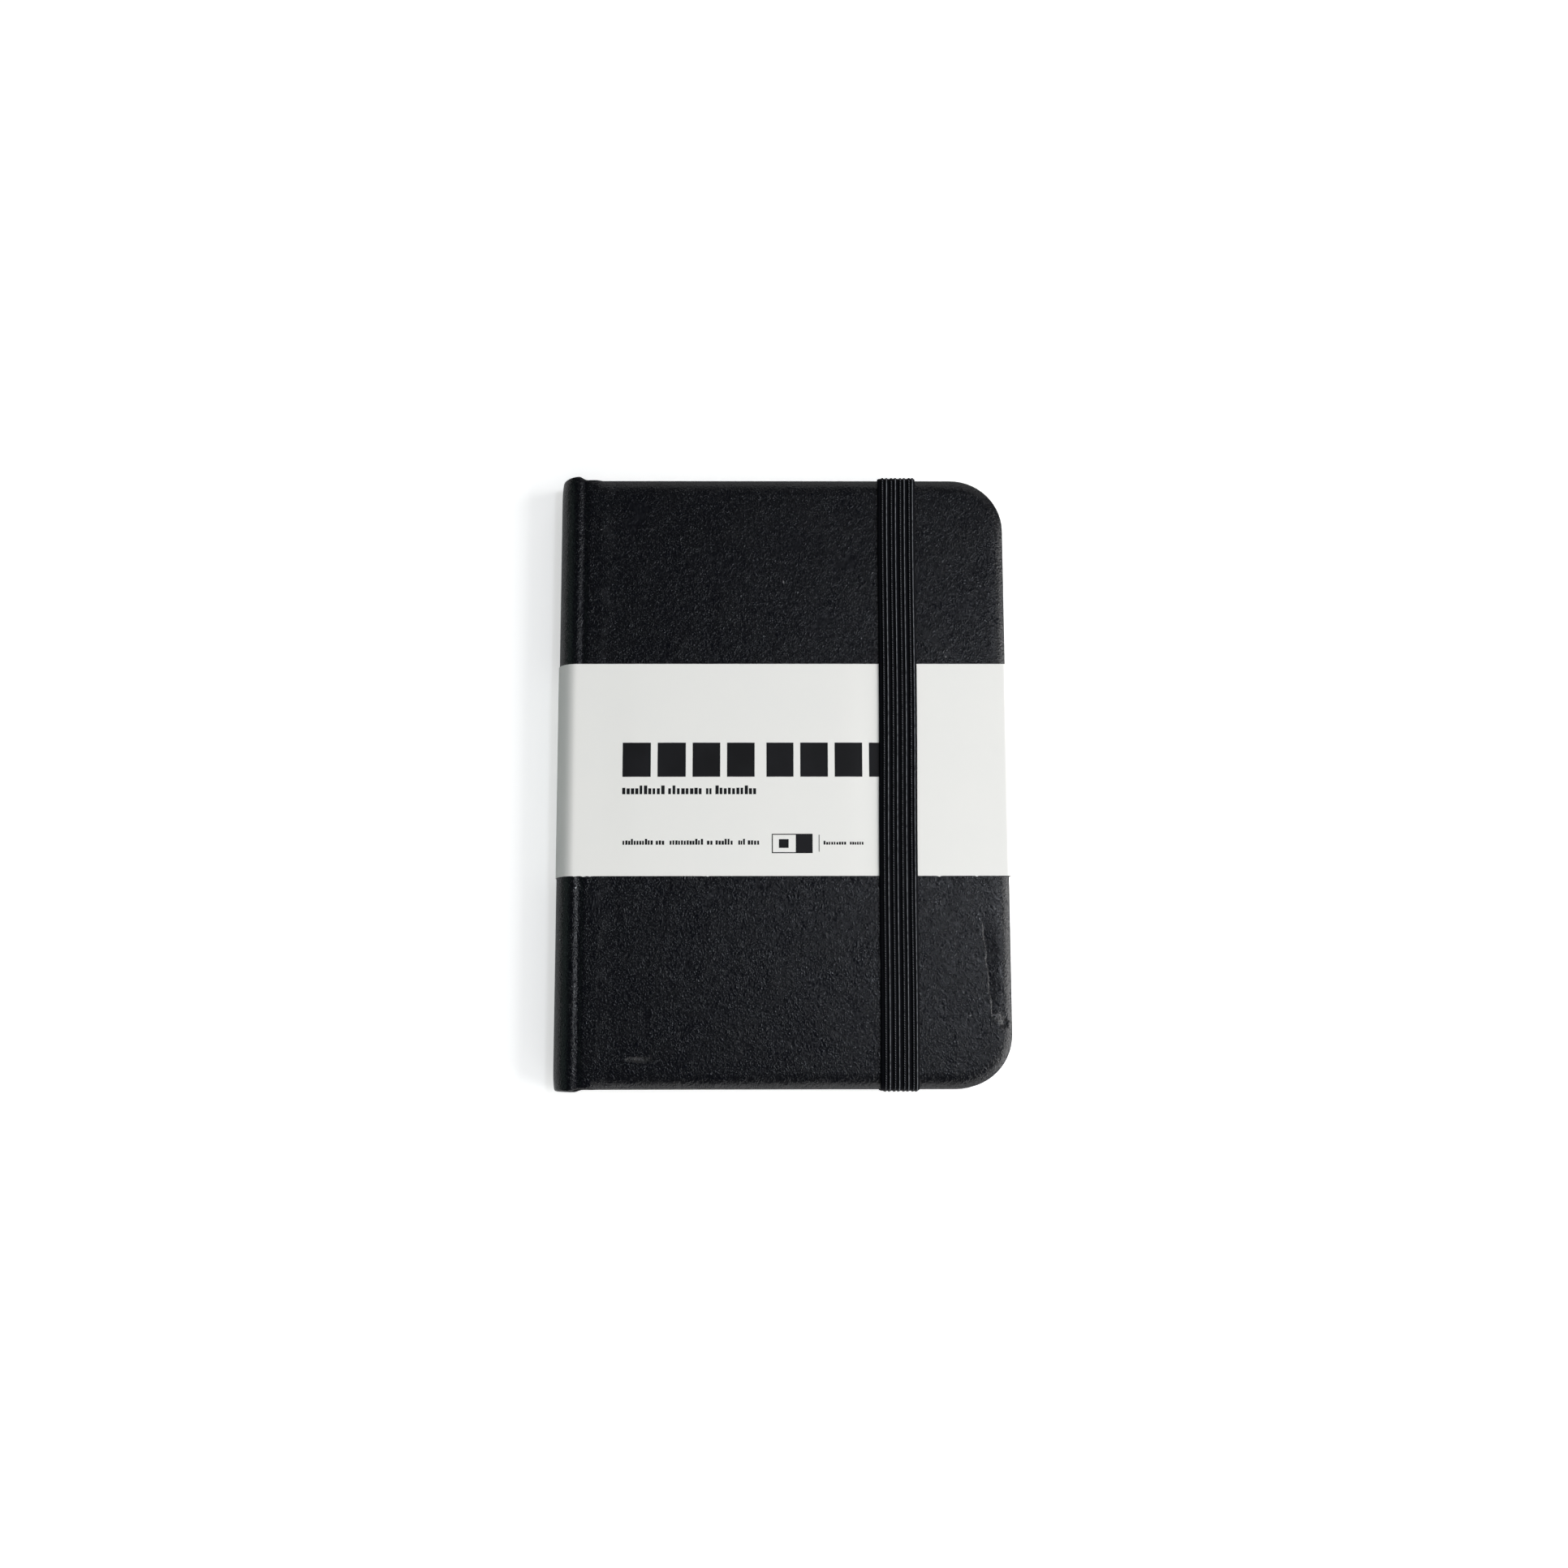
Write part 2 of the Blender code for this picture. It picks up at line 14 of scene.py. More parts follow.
import bmesh
import bpy
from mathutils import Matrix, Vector


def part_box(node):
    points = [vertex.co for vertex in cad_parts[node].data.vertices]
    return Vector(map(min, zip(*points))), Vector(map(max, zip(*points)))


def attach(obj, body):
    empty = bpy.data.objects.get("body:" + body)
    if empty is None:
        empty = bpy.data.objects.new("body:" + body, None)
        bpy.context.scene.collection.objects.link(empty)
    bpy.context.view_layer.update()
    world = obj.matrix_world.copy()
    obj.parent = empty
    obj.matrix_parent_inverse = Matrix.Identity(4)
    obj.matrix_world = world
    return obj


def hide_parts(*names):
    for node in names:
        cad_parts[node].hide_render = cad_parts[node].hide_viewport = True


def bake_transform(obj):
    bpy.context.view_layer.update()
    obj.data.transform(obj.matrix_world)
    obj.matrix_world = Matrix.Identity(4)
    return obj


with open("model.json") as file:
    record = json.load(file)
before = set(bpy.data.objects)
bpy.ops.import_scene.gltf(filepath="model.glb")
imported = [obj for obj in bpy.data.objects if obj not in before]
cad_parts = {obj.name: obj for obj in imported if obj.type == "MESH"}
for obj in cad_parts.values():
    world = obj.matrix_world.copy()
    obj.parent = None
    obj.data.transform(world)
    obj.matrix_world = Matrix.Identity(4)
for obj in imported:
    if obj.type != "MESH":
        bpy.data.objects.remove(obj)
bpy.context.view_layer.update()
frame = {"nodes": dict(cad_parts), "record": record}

LOG = logging.getLogger("notebook")
MM = 0.001
SHARP_ANGLE = math.radians(32)
CORNER_STEPS = 14

Point = tuple[float, float, float]
Flat = tuple[float, float]
Socket = bpy.types.NodeSocket


class Side(Enum):
    """Which cover a piece belongs to."""

    FRONT = "front"
    BACK = "back"


def smooth(share: float) -> float:
    """An even ramp from 0 to 1 with soft ends."""
    share = min(max(share, 0.0), 1.0)
    return share * share * (3 - 2 * share)


def spread(low: float, high: float, steps: int) -> list[float]:
    """Evenly spaced values from low to high, both included."""
    return [low + (high - low) * step / steps for step in range(steps + 1)]


# ---------------------------------------------------------------- meshes


class MeshMaker:
    """Gathers the points and faces of one piece and makes its object."""

    def __init__(self, mirror_level: float | None = None) -> None:
        """Starts an empty piece.

        Args:
            mirror_level: Height that the piece is turned over about, for the back twin of a front piece.
        """
        self.points: list[Point] = []
        self.faces: list[tuple[int, ...]] = []
        self.face_finish: list[int] = []
        self.mirror_level = mirror_level

    def row(self, points: Iterable[Point]) -> list[int]:
        """Adds points.

        Args:
            points: The new points, in order.

        Returns:
            Their numbers in the mesh.
        """
        start = len(self.points)
        for x, y, z in points:
            if self.mirror_level is not None:
                z = 2 * self.mirror_level - z
            self.points.append((x, y, z))
        return list(range(start, len(self.points)))

    def face(self, corners: Iterable[int], finish: int = 0) -> None:
        """Adds one face.

        Args:
            corners: Numbers of its points, in order.
            finish: Which of the piece's materials it takes.
        """
        self.faces.append(tuple(corners))
        self.face_finish.append(finish)

    def strip(self, first: Sequence[int], second: Sequence[int], closed: bool = False, finish: int = 0) -> None:
        """Adds quads between two rows of equal length.

        Args:
            first: One row.
            second: The next row.
            closed: Whether each row is a loop.
            finish: Which of the piece's materials the quads take.
        """
        count = len(first)
        for at in range(count if closed else count - 1):
            after = (at + 1) % count
            self.face((first[at], first[after], second[after], second[at]), finish)

    def ladder(self, ring: Sequence[int]) -> None:
        """Fills a flat ring with quads that run from its head half to its tail half.

        Args:
            ring: Head points from left to right, then tail points from right to left.
        """
        for at in range(len(ring) // 2 - 1):
            self.face((ring[at], ring[at + 1], ring[-2 - at], ring[-1 - at]))

    def stack(self, rings: Sequence[Sequence[int]], closed: bool = True, finish: int = 0) -> None:
        """Joins rings of an outline one after another and fills the first and the last.

        Args:
            rings: Rows of point numbers, each an outline.
            closed: Whether the quads between them also close the rings at the binding.
            finish: Which of the piece's materials the quads between them take.
        """
        for first, second in zip(rings, rings[1:]):
            self.strip(first, second, closed, finish)
        self.ladder(rings[0])
        self.ladder(rings[-1])

    def tube(self, loops: Sequence[Sequence[int]], finish: int = 0) -> None:
        """Joins closed loops one after another and caps both ends.

        Args:
            loops: Rows of point numbers, each a loop.
            finish: Which of the piece's materials the faces take.
        """
        for first, second in zip(loops, loops[1:]):
            self.strip(first, second, closed=True, finish=finish)
        self.face(loops[0], finish)
        self.face(reversed(loops[-1]), finish)

    def build(self, name: str, finishes: Sequence[bpy.types.Material]) -> bpy.types.Object:
        """Makes the object.

        Args:
            name: The piece's name.
            finishes: Its materials.

        Returns:
            The new object, in the scene, with its faces pointing out.
        """
        mesh = bpy.data.meshes.new(name)
        mesh.from_pydata(self.points, [], self.faces)
        for finish in finishes:
            mesh.materials.append(finish)
        mesh.polygons.foreach_set("material_index", self.face_finish)
        work = bmesh.new()
        work.from_mesh(mesh)
        bmesh.ops.recalc_face_normals(work, faces=work.faces)
        work.to_mesh(mesh)
        work.free()
        mesh.shade_smooth()
        mesh.set_sharp_from_angle(angle=SHARP_ANGLE)
        piece = bpy.data.objects.new(name, mesh)
        bpy.context.scene.collection.objects.link(piece)
        return piece


@dataclass(frozen=True)
class Plan:
    """The outline of a cover or a leaf: square at the binding, with two round corners at the fore edge.

    bends are distances from the left edge at which a leaf gets extra points.
    """

    left: float
    right: float
    half: float
    corner: float
    bends: tuple[float, ...] = ()
    smallest_corner: float = 0.5 * MM
    straight_steps: int = 6

    def ring(self, inset: float, height: Callable[[float], float]) -> list[Point]:
        """The outline drawn in from its edge.

        Args:
            inset: How far in.
            height: Gives z for each x.

        Returns:
            Head points from left to right, then tail points from right to left.
        """
        radius = max(self.corner - inset, self.smallest_corner)
        centre = self.right - inset - radius
        half = self.half - inset
        start = self.left + (self.bends[-1] if self.bends else 0.0)
        places = [self.left + bend for bend in self.bends[:-1]] + spread(start, centre, self.straight_steps)
        head = [(x, half) for x in places]
        for turn in spread(0.0, math.pi / 2, CORNER_STEPS)[1:]:
            head.append((centre + radius * math.sin(turn), half - radius + radius * math.cos(turn)))
        return [(x, y, height(x)) for x, y in head] + [(x, -y, height(x)) for x, y in reversed(head)]


# ---------------------------------------------------------------- where things are


@dataclass(frozen=True)
class Layout:
    """Places that the pieces share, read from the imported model."""

    hinge: Vector = field(default_factory=lambda: joint_place("front_cover_hinge"))
    cover: tuple[Vector, Vector] = field(default_factory=lambda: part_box("front_skin"))
    spine: tuple[Vector, Vector] = field(default_factory=lambda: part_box("spine_skin"))
    middle: float = field(default_factory=lambda: (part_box("front_skin")[1].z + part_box("back_skin")[0].z) / 2)

    @property
    def half_stack(self) -> float:
        """From the middle of the block to the face of a cover."""
        return self.cover[1].z - self.middle

    @property
    def bulge(self) -> float:
        """How far the spine stands out past the hinge line."""
        return self.hinge.x - self.spine[0].x

    @property
    def seam_x(self) -> float:
        """Where the joint's leather meets the cover's."""
        return self.cover[0].x - 0.05 * MM

    def mirror(self, side: Side) -> float | None:
        """The height that the back cover's pieces are turned over about."""
        return self.middle if side is Side.BACK else None


def joint_place(name: str) -> Vector:
    """Finds a hinge's line.

    Args:
        name: The joint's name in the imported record.

    Returns:
        A point on it.
    """
    for joint in frame["record"]["behaviour"]["joints"]:
        if joint["name"] == name:
            return Vector(joint["pos_m"])
    raise ValueError(name)


def dress(name: str, finish: bpy.types.Material) -> None:
    """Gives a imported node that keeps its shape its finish.

    Args:
        name: The node.
        finish: Its material.
    """
    materials = frame["nodes"][name].data.materials
    materials.clear()
    materials.append(finish)


# ---------------------------------------------------------------- node helpers


class Nodes:
    """Short calls for adding nodes to one tree and joining them."""

    def __init__(self, tree: bpy.types.NodeTree) -> None:
        """Takes the tree to work in."""
        self.tree = tree

    def add(self, kind: str, inputs: dict[str | int, object] | None = None, **settings: object) -> bpy.types.Node:
        """Adds a node.

        Args:
            kind: Its type.
            inputs: A value or a socket for each named input.
            settings: Its other settings.

        Returns:
            The node.
        """
        node = self.tree.nodes.new(kind)
        for key, value in settings.items():
            setattr(node, key, value)
        for key, value in (inputs or {}).items():
            self.feed(node.inputs[key], value)
        return node

    def feed(self, socket: Socket, value: object) -> None:
        """Sets an input to a value, or joins a socket to it.

        Args:
            socket: The input.
            value: A value or another node's output.
        """
        if isinstance(value, bpy.types.NodeSocket):
            self.tree.links.new(value, socket)
        else:
            socket.default_value = value

    def math(self, operation: str, first: object, second: object = 0.0, clamp: bool = False) -> Socket:
        """Combines two numbers."""
        node = self.add("ShaderNodeMath", {0: first, 1: second}, operation=operation, use_clamp=clamp)
        return node.outputs[0]

    def times(self, first: object, second: object) -> Socket:
        """Multiplies two numbers."""
        return self.math("MULTIPLY", first, second)

    def plus(self, first: object, second: object) -> Socket:
        """Adds two numbers."""
        return self.math("ADD", first, second)

    def minus(self, first: object, second: object) -> Socket:
        """Takes the second number from the first."""
        return self.math("SUBTRACT", first, second)

    def vector(self, operation: str, first: object, second: object) -> Socket:
        """Combines two vectors."""
        return self.add("ShaderNodeVectorMath", {0: first, 1: second}, operation=operation).outputs[0]

    def length(self, vector: object) -> Socket:
        """The length of a vector."""
        return self.add("ShaderNodeVectorMath", {0: vector}, operation="LENGTH").outputs["Value"]

    def ramp(self, value: object, low: float, high: float, to_low: float = 0.0, to_high: float = 1.0) -> Socket:
        """Maps a range of a number to another, with soft ends.

        Args:
            value: The number.
            low: Start of its range.
            high: End of its range.
            to_low: Result at the start.
            to_high: Result at the end.

        Returns:
            The mapped number.
        """
        node = self.add(
            "ShaderNodeMapRange",
            {"Value": value, "From Min": low, "From Max": high, "To Min": to_low, "To Max": to_high},
            interpolation_type="SMOOTHSTEP",
        )
        return node.outputs["Result"]

    def mix(self, share: object, first: object, second: object) -> Socket:
        """Mixes two colours.

        Args:
            share: How much of the second there is.
            first: The first colour.
            second: The second colour.

        Returns:
            The mixed colour.
        """
        node = self.add("ShaderNodeMix", data_type="RGBA")
        for key, value in ((0, share), (6, first), (7, second)):
            self.feed(node.inputs[key], value)
        return node.outputs[2]

    def noise(self, place: object, scale: float, detail: float = 2.0, roughness: float = 0.5) -> Socket:
        """Cloudy noise at that many features a metre."""
        node = self.add(
            "ShaderNodeTexNoise",
            {"Vector": place, "Scale": scale, "Detail": detail, "Roughness": roughness},
        )
        return node.outputs["Fac"]

    def stretched(self, place: object, scale: Point, shift: Point = (0.0, 0.0, 0.0), turn: float = 0.0) -> Socket:
        """Scales, shifts and turns the coordinates that a pattern is read at."""
        node = self.add(
            "ShaderNodeMapping",
            {"Vector": place, "Scale": scale, "Location": shift, "Rotation": (0.0, 0.0, turn)},
        )
        return node.outputs[0]

    def parts(self, place: object) -> tuple[Socket, Socket, Socket]:
        """Splits coordinates into x, y and z."""
        node = self.add("ShaderNodeSeparateXYZ", {0: place})
        return node.outputs[0], node.outputs[1], node.outputs[2]

    def group(self, tree: bpy.types.NodeTree, inputs: dict[str, object]) -> bpy.types.Node:
        """Places a shared effect.

        Args:
            tree: The effect's tree.
            inputs: A value or a socket for each named input.

        Returns:
            The group's node.
        """
        node = self.tree.nodes.new("ShaderNodeGroup")
        node.node_tree = tree
        for key, value in inputs.items():
            self.feed(node.inputs[key], value)
        return node


def new_group(
    name: str, inputs: dict[str, tuple[str, object]], outputs: Sequence[str],
) -> tuple[bpy.types.NodeTree, Nodes]:
    """Starts a shared effect.

    Args:
        name: The group's name.
        inputs: For each input, its kind of socket and its value when nothing is joined to it.
        outputs: Names of its outputs, which are numbers.

    Returns:
        The group's tree, and the helper that adds nodes to it.
    """
    tree = bpy.data.node_groups.new(name, "ShaderNodeTree")
    for label, (kind, value) in inputs.items():
        socket = tree.interface.new_socket(label, in_out="INPUT", socket_type=kind)
        if value is not None:
            socket.default_value = value
    for label in outputs:
        tree.interface.new_socket(label, in_out="OUTPUT", socket_type="NodeSocketFloat")
    return tree, Nodes(tree)


PEBBLE_BEND = 1.1 * MM
VALLEY_WIDTH = 0.22
MARK_DRIFT = (4.0 * MM, 2.0 * MM, 0.0)


class Effects:
    """The effects that several finishes share, each built once as a node group."""

    def __init__(self) -> None:
        """Builds the groups."""
        self.pebble = self.make_pebble()
        self.fibre = self.make_fibre()
        self.weave = self.make_weave()
        self.dust = self.make_dust()
        self.spot = self.make_spot()
        self.wear = self.make_wear()

    def make_pebble(self) -> bpy.types.NodeTree:
        """Embossed leather: irregular pebbles with valleys between them, and a slower unevenness."""
        tree, nodes = new_group(
            "Pebble grain",
            {"Place": ("NodeSocketVector", None), "Pebbles a metre": ("NodeSocketFloat", 1300.0)},
            ("Height", "Valley", "Slow"),
        )
        source = nodes.add("NodeGroupInput")
        place, scale = source.outputs[0], source.outputs[1]
        warp = nodes.add("ShaderNodeTexNoise", {"Vector": place, "Scale": 420.0, "Detail": 2.0})
        bent = nodes.vector("MULTIPLY", warp.outputs["Color"], (PEBBLE_BEND,) * 3)
        moved = nodes.vector("ADD", place, bent)
        leaning = nodes.stretched(moved, (1.0, 0.72, 1.0), turn=math.radians(38))
        pebbles = nodes.noise(leaning, scale, 1.5, 0.6)
        away = nodes.math("ABSOLUTE", nodes.minus(pebbles, 0.5))
        valley = nodes.ramp(away, 0.0, VALLEY_WIDTH, 1.0, 0.0)
        uneven = nodes.noise(place, 780.0, 1.0)
        slow = nodes.noise(place, 95.0, 3.0)
        height = nodes.minus(nodes.times(uneven, 1.1), nodes.times(valley, 1.2))
        height = nodes.plus(height, nodes.times(slow, 3.0))
        nodes.add("NodeGroupOutput", {"Height": height, "Valley": valley, "Slow": slow})
        return tree

    def make_fibre(self) -> bpy.types.NodeTree:
        """Paper and board: short fibres that lie every way, flecks, and a cloudy look-through."""
        tree, nodes = new_group(
            "Paper fibre",
            {"Place": ("NodeSocketVector", None), "Fibres a metre": ("NodeSocketFloat", 900.0)},
            ("Height", "Cloud", "Fleck"),
        )
        source = nodes.add("NodeGroupInput")
        place, scale = source.outputs[0], source.outputs[1]
        along = nodes.noise(nodes.stretched(place, (0.25, 1.0, 1.0), turn=0.5), scale, 3.0)
        across = nodes.noise(nodes.stretched(place, (1.0, 0.25, 1.0), turn=0.3), scale, 3.0)
        height = nodes.plus(along, across)
        cloud = nodes.noise(place, 60.0, 4.0)
        fleck = nodes.ramp(nodes.noise(place, 1500.0, 1.0), 0.72, 0.80)
        nodes.add("NodeGroupOutput", {"Height": height, "Cloud": cloud, "Fleck": fleck})
        return tree

    def make_weave(self) -> bpy.types.NodeTree:
        """Plain weave: threads that pass over and under each other."""
        tree, nodes = new_group(
            "Weave",
            {
                "Along": ("NodeSocketFloat", 0.0),
                "Across": ("NodeSocketFloat", 0.0),
                "Threads a metre": ("NodeSocketFloat", 2000.0),
            },
            ("Height", "Thread"),
        )
        source = nodes.add("NodeGroupInput")
        turns = nodes.times(source.outputs[2], math.pi)
        along = nodes.math("SINE", nodes.times(source.outputs[0], turns))
        across = nodes.math("SINE", nodes.times(source.outputs[1], turns))
        thread = nodes.times(along, across)
        height = nodes.math("MAXIMUM", nodes.math("ABSOLUTE", along), nodes.math("ABSOLUTE", across))
        height = nodes.plus(height, nodes.times(thread, 0.5))
        nodes.add("NodeGroupOutput", {"Height": height, "Thread": nodes.ramp(thread, -0.6, 0.6)})
        return tree

    def make_dust(self) -> bpy.types.NodeTree:
        """Sparse pale specks of lint."""
        tree, nodes = new_group(
            "Dust",
            {"Place": ("NodeSocketVector", None), "Amount": ("NodeSocketFloat", 0.5)},
            ("Mask",),
        )
        source = nodes.add("NodeGroupInput")
        cells = nodes.add("ShaderNodeTexVoronoi", {"Vector": source.outputs[0], "Scale": 160.0, "Randomness": 1.0})
        close = nodes.ramp(cells.outputs["Distance"], 0.028, 0.045, 1.0, 0.0)
        chosen = nodes.parts(cells.outputs["Color"])[0]
        rare = nodes.math("GREATER_THAN", source.outputs[1], chosen)
        nodes.add("NodeGroupOutput", {"Mask": nodes.times(close, rare)})
        return tree

    def make_spot(self) -> bpy.types.NodeTree:
        """One soft round or long mark at a place on the surface."""
        tree, nodes = new_group(
            "Mark",
            {
                "Place": ("NodeSocketVector", None),
                "Centre": ("NodeSocketVector", (0.0, 0.0, 0.0)),
                "Half size": ("NodeSocketVector", (0.001, 0.001, 0.001)),
                "Raggedness": ("NodeSocketFloat", 0.5),
            },
            ("Mask",),
        )
        source = nodes.add("NodeGroupInput")
        place, centre, size, ragged = source.outputs[:4]
        drift = nodes.add("ShaderNodeTexNoise", {"Vector": place, "Scale": 130.0, "Detail": 2.0})
        drift = nodes.vector("SUBTRACT", drift.outputs["Color"], (0.5, 0.5, 0.5))
        moved = nodes.vector("ADD", place, nodes.vector("MULTIPLY", drift, MARK_DRIFT))
        away = nodes.vector("SUBTRACT", moved, centre)
        length = nodes.length(nodes.vector("DIVIDE", away, size))
        rough = nodes.times(nodes.noise(place, 900.0, 3.0), ragged)
        nodes.add("NodeGroupOutput", {"Mask": nodes.ramp(nodes.plus(length, rough), 0.35, 1.1, 1.0, 0.0)})
        return tree

    def make_wear(self) -> bpy.types.NodeTree:
        """Rubbed places: edges that stand out of the surface, broken up unevenly."""
        tree, nodes = new_group(
            "Edge wear",
            {
                "Place": ("NodeSocketVector", None),
                "Sharpness": ("NodeSocketFloat", 0.5),
                "Amount": ("NodeSocketFloat", 0.5),
            },
            ("Mask",),
        )
        source = nodes.add("NodeGroupInput")
        edge = nodes.ramp(source.outputs[1], 0.505, 0.56)
        patch = nodes.ramp(nodes.noise(source.outputs[0], 240.0, 4.0), 0.40, 0.72)
        mask = nodes.times(nodes.times(edge, patch), source.outputs[2])
        nodes.add("NodeGroupOutput", {"Mask": mask})
        return tree


# ---------------------------------------------------------------- finishes

Colour = tuple[float, float, float, float]


def tone(red: float, green: float, blue: float) -> Colour:
    """An opaque colour."""
    return (red, green, blue, 1.0)


@dataclass(frozen=True)
class Finish:
    """What every finish has: a base colour, a second one that it varies towards, a roughness and a sheen."""

    name: str
    colour: Colour
    other: Colour
    roughness: float = 0.6
    specular: float = 0.5
    sheen: float = 0.0
    relief: float = 0.00004

    def start(self) -> tuple[bpy.types.Material, Nodes, bpy.types.Node, Socket]:
        """Starts the material.

        Returns:
            The material, its tree, its shader and the coordinates of the piece.
        """
        material = bpy.data.materials.new(self.name)
        material.use_nodes = True
        nodes = Nodes(material.node_tree)
        shader = material.node_tree.nodes["Principled BSDF"]
        shader.inputs["Base Color"].default_value = self.colour
        shader.inputs["Roughness"].default_value = self.roughness
        shader.inputs["Specular IOR Level"].default_value = self.specular
        shader.inputs["Sheen Weight"].default_value = self.sheen
        place = nodes.add("ShaderNodeTexCoord").outputs["Object"]
        return material, nodes, shader, place

    def bump(self, nodes: Nodes, shader: bpy.types.Node, height: Socket, strength: float = 1.0) -> None:
        """Raises the surface by a height.

        Args:
            nodes: The material's tree.
            shader: Its shader.
            height: The height, where 1 is the finish's relief.
            strength: How much of it shows.
        """
        bump = nodes.add("ShaderNodeBump", {"Height": height, "Distance": self.relief, "Strength": strength})
        nodes.feed(shader.inputs["Normal"], bump.outputs[0])


@dataclass(frozen=True)
class Mark:
    """A dent or scratch in the leather.

    It has a middle, a half size, a height in reliefs, how pale it is rubbed and how ragged its outline is.
    """

    centre: Flat
    half: Flat
    depth: float
    pale: float
    raggedness: float = 0.5


@dataclass(frozen=True)
class Crease:
    """A long crease near the fore edge: a sharp step down that rises gently again towards the edge."""

    centre: Flat = (0.0684, -0.0655)
    width: float = 5.2 * MM
    lean: float = 0.085
    wander: float = 3.0 * MM
    step: float = 0.10
    ends: Flat = (8.0 * MM, 19.0 * MM)
    depth: float = -7.0

    def height(self, nodes: Nodes, place: Socket) -> Socket:
        """Makes the crease's height.

        Args:
            nodes: The material's tree.
            place: The piece's coordinates.

        Returns:
            Its height, in reliefs.
        """
        x, y = nodes.parts(place)[:2]
        middle_x, middle_y = self.centre
        bend = nodes.times(nodes.minus(nodes.noise(place, 150.0, 3.0), 0.5), self.wander)
        lean = nodes.times(nodes.plus(y, -middle_y), self.lean)
        across = nodes.plus(nodes.minus(x, middle_x), nodes.plus(bend, lean))
        across = nodes.math("DIVIDE", across, self.width)
        drop = nodes.ramp(across, 0.0, self.step)
        rise = nodes.math("SUBTRACT", 1.0, across, clamp=True)
        near = nodes.ramp(nodes.math("ABSOLUTE", nodes.plus(y, -middle_y)), *self.ends, 1.0, 0.0)
        return nodes.times(nodes.times(drop, rise), nodes.times(near, self.depth))


@dataclass(frozen=True)
class LeatherFinish(Finish):
    """Black coated leather cloth with a fine pebble grain, painted shade in the valleys between the pebbles, and the
    few marks of handling.
    """

    marks: tuple[Mark, ...] = ()
    crease: Crease | None = None
    mark_level: float = 0.0
    mark_reach: float = 3.0 * MM
    pebbles: float = 1200.0
    # Painted shade: the deeper tone that the valleys between the pebbles are darkened towards.
    valley_shade_tone: Colour = tone(0.0012, 0.0014, 0.0022)
    worn_tone: Colour = tone(0.035, 0.036, 0.040)
    flake_tone: Colour = tone(0.20, 0.20, 0.21)
    lint_tone: Colour = tone(0.30, 0.30, 0.30)

    def make(self, effects: Effects) -> bpy.types.Material:
        """Makes the material.

        Args:
            effects: The shared node groups.

        Returns:
            The material.
        """
        material, nodes, shader, place = self.start()
        grain = nodes.group(effects.pebble, {"Place": place, "Pebbles a metre": self.pebbles})
        height, valley, slow = grain.outputs
        point = nodes.add("ShaderNodeNewGeometry").outputs["Pointiness"]
        worn = nodes.group(effects.wear, {"Place": place, "Sharpness": point, "Amount": 0.35}).outputs[0]
        dust = nodes.group(effects.dust, {"Place": place, "Amount": 0.05}).outputs[0]
        colour = nodes.mix(nodes.ramp(slow, 0.35, 0.65), self.colour, self.other)
        # Painted shade: darkens the valleys between the pebbles.
        colour = nodes.mix(nodes.times(valley, 0.6), colour, self.valley_shade_tone)
        colour = nodes.mix(worn, colour, self.worn_tone)
        for mark in self.marks:
            spot = nodes.group(
                effects.spot,
                {
                    "Place": place,
                    "Centre": (*mark.centre, self.mark_level),
                    "Half size": (*mark.half, self.mark_reach),
                    "Raggedness": mark.raggedness,
                },
            ).outputs[0]
            height = nodes.plus(height, nodes.times(spot, mark.depth))
            flake = nodes.ramp(nodes.noise(place, 1300.0, 3.0), 0.46, 0.58)
            rubbed = nodes.times(nodes.times(spot, flake), mark.pale)
            colour = nodes.mix(rubbed, colour, self.flake_tone)
        if self.crease:
            height = nodes.plus(height, self.crease.height(nodes, place))
        colour = nodes.mix(nodes.times(dust, 0.8), colour, self.lint_tone)
        nodes.feed(shader.inputs["Base Color"], colour)
        shine = nodes.ramp(slow, 0.3, 0.7, self.roughness - 0.02, self.roughness + 0.02)
        shine = nodes.plus(shine, nodes.times(valley, 0.10))
        nodes.feed(shader.inputs["Roughness"], shine)
        self.bump(nodes, shader, height)
        return material


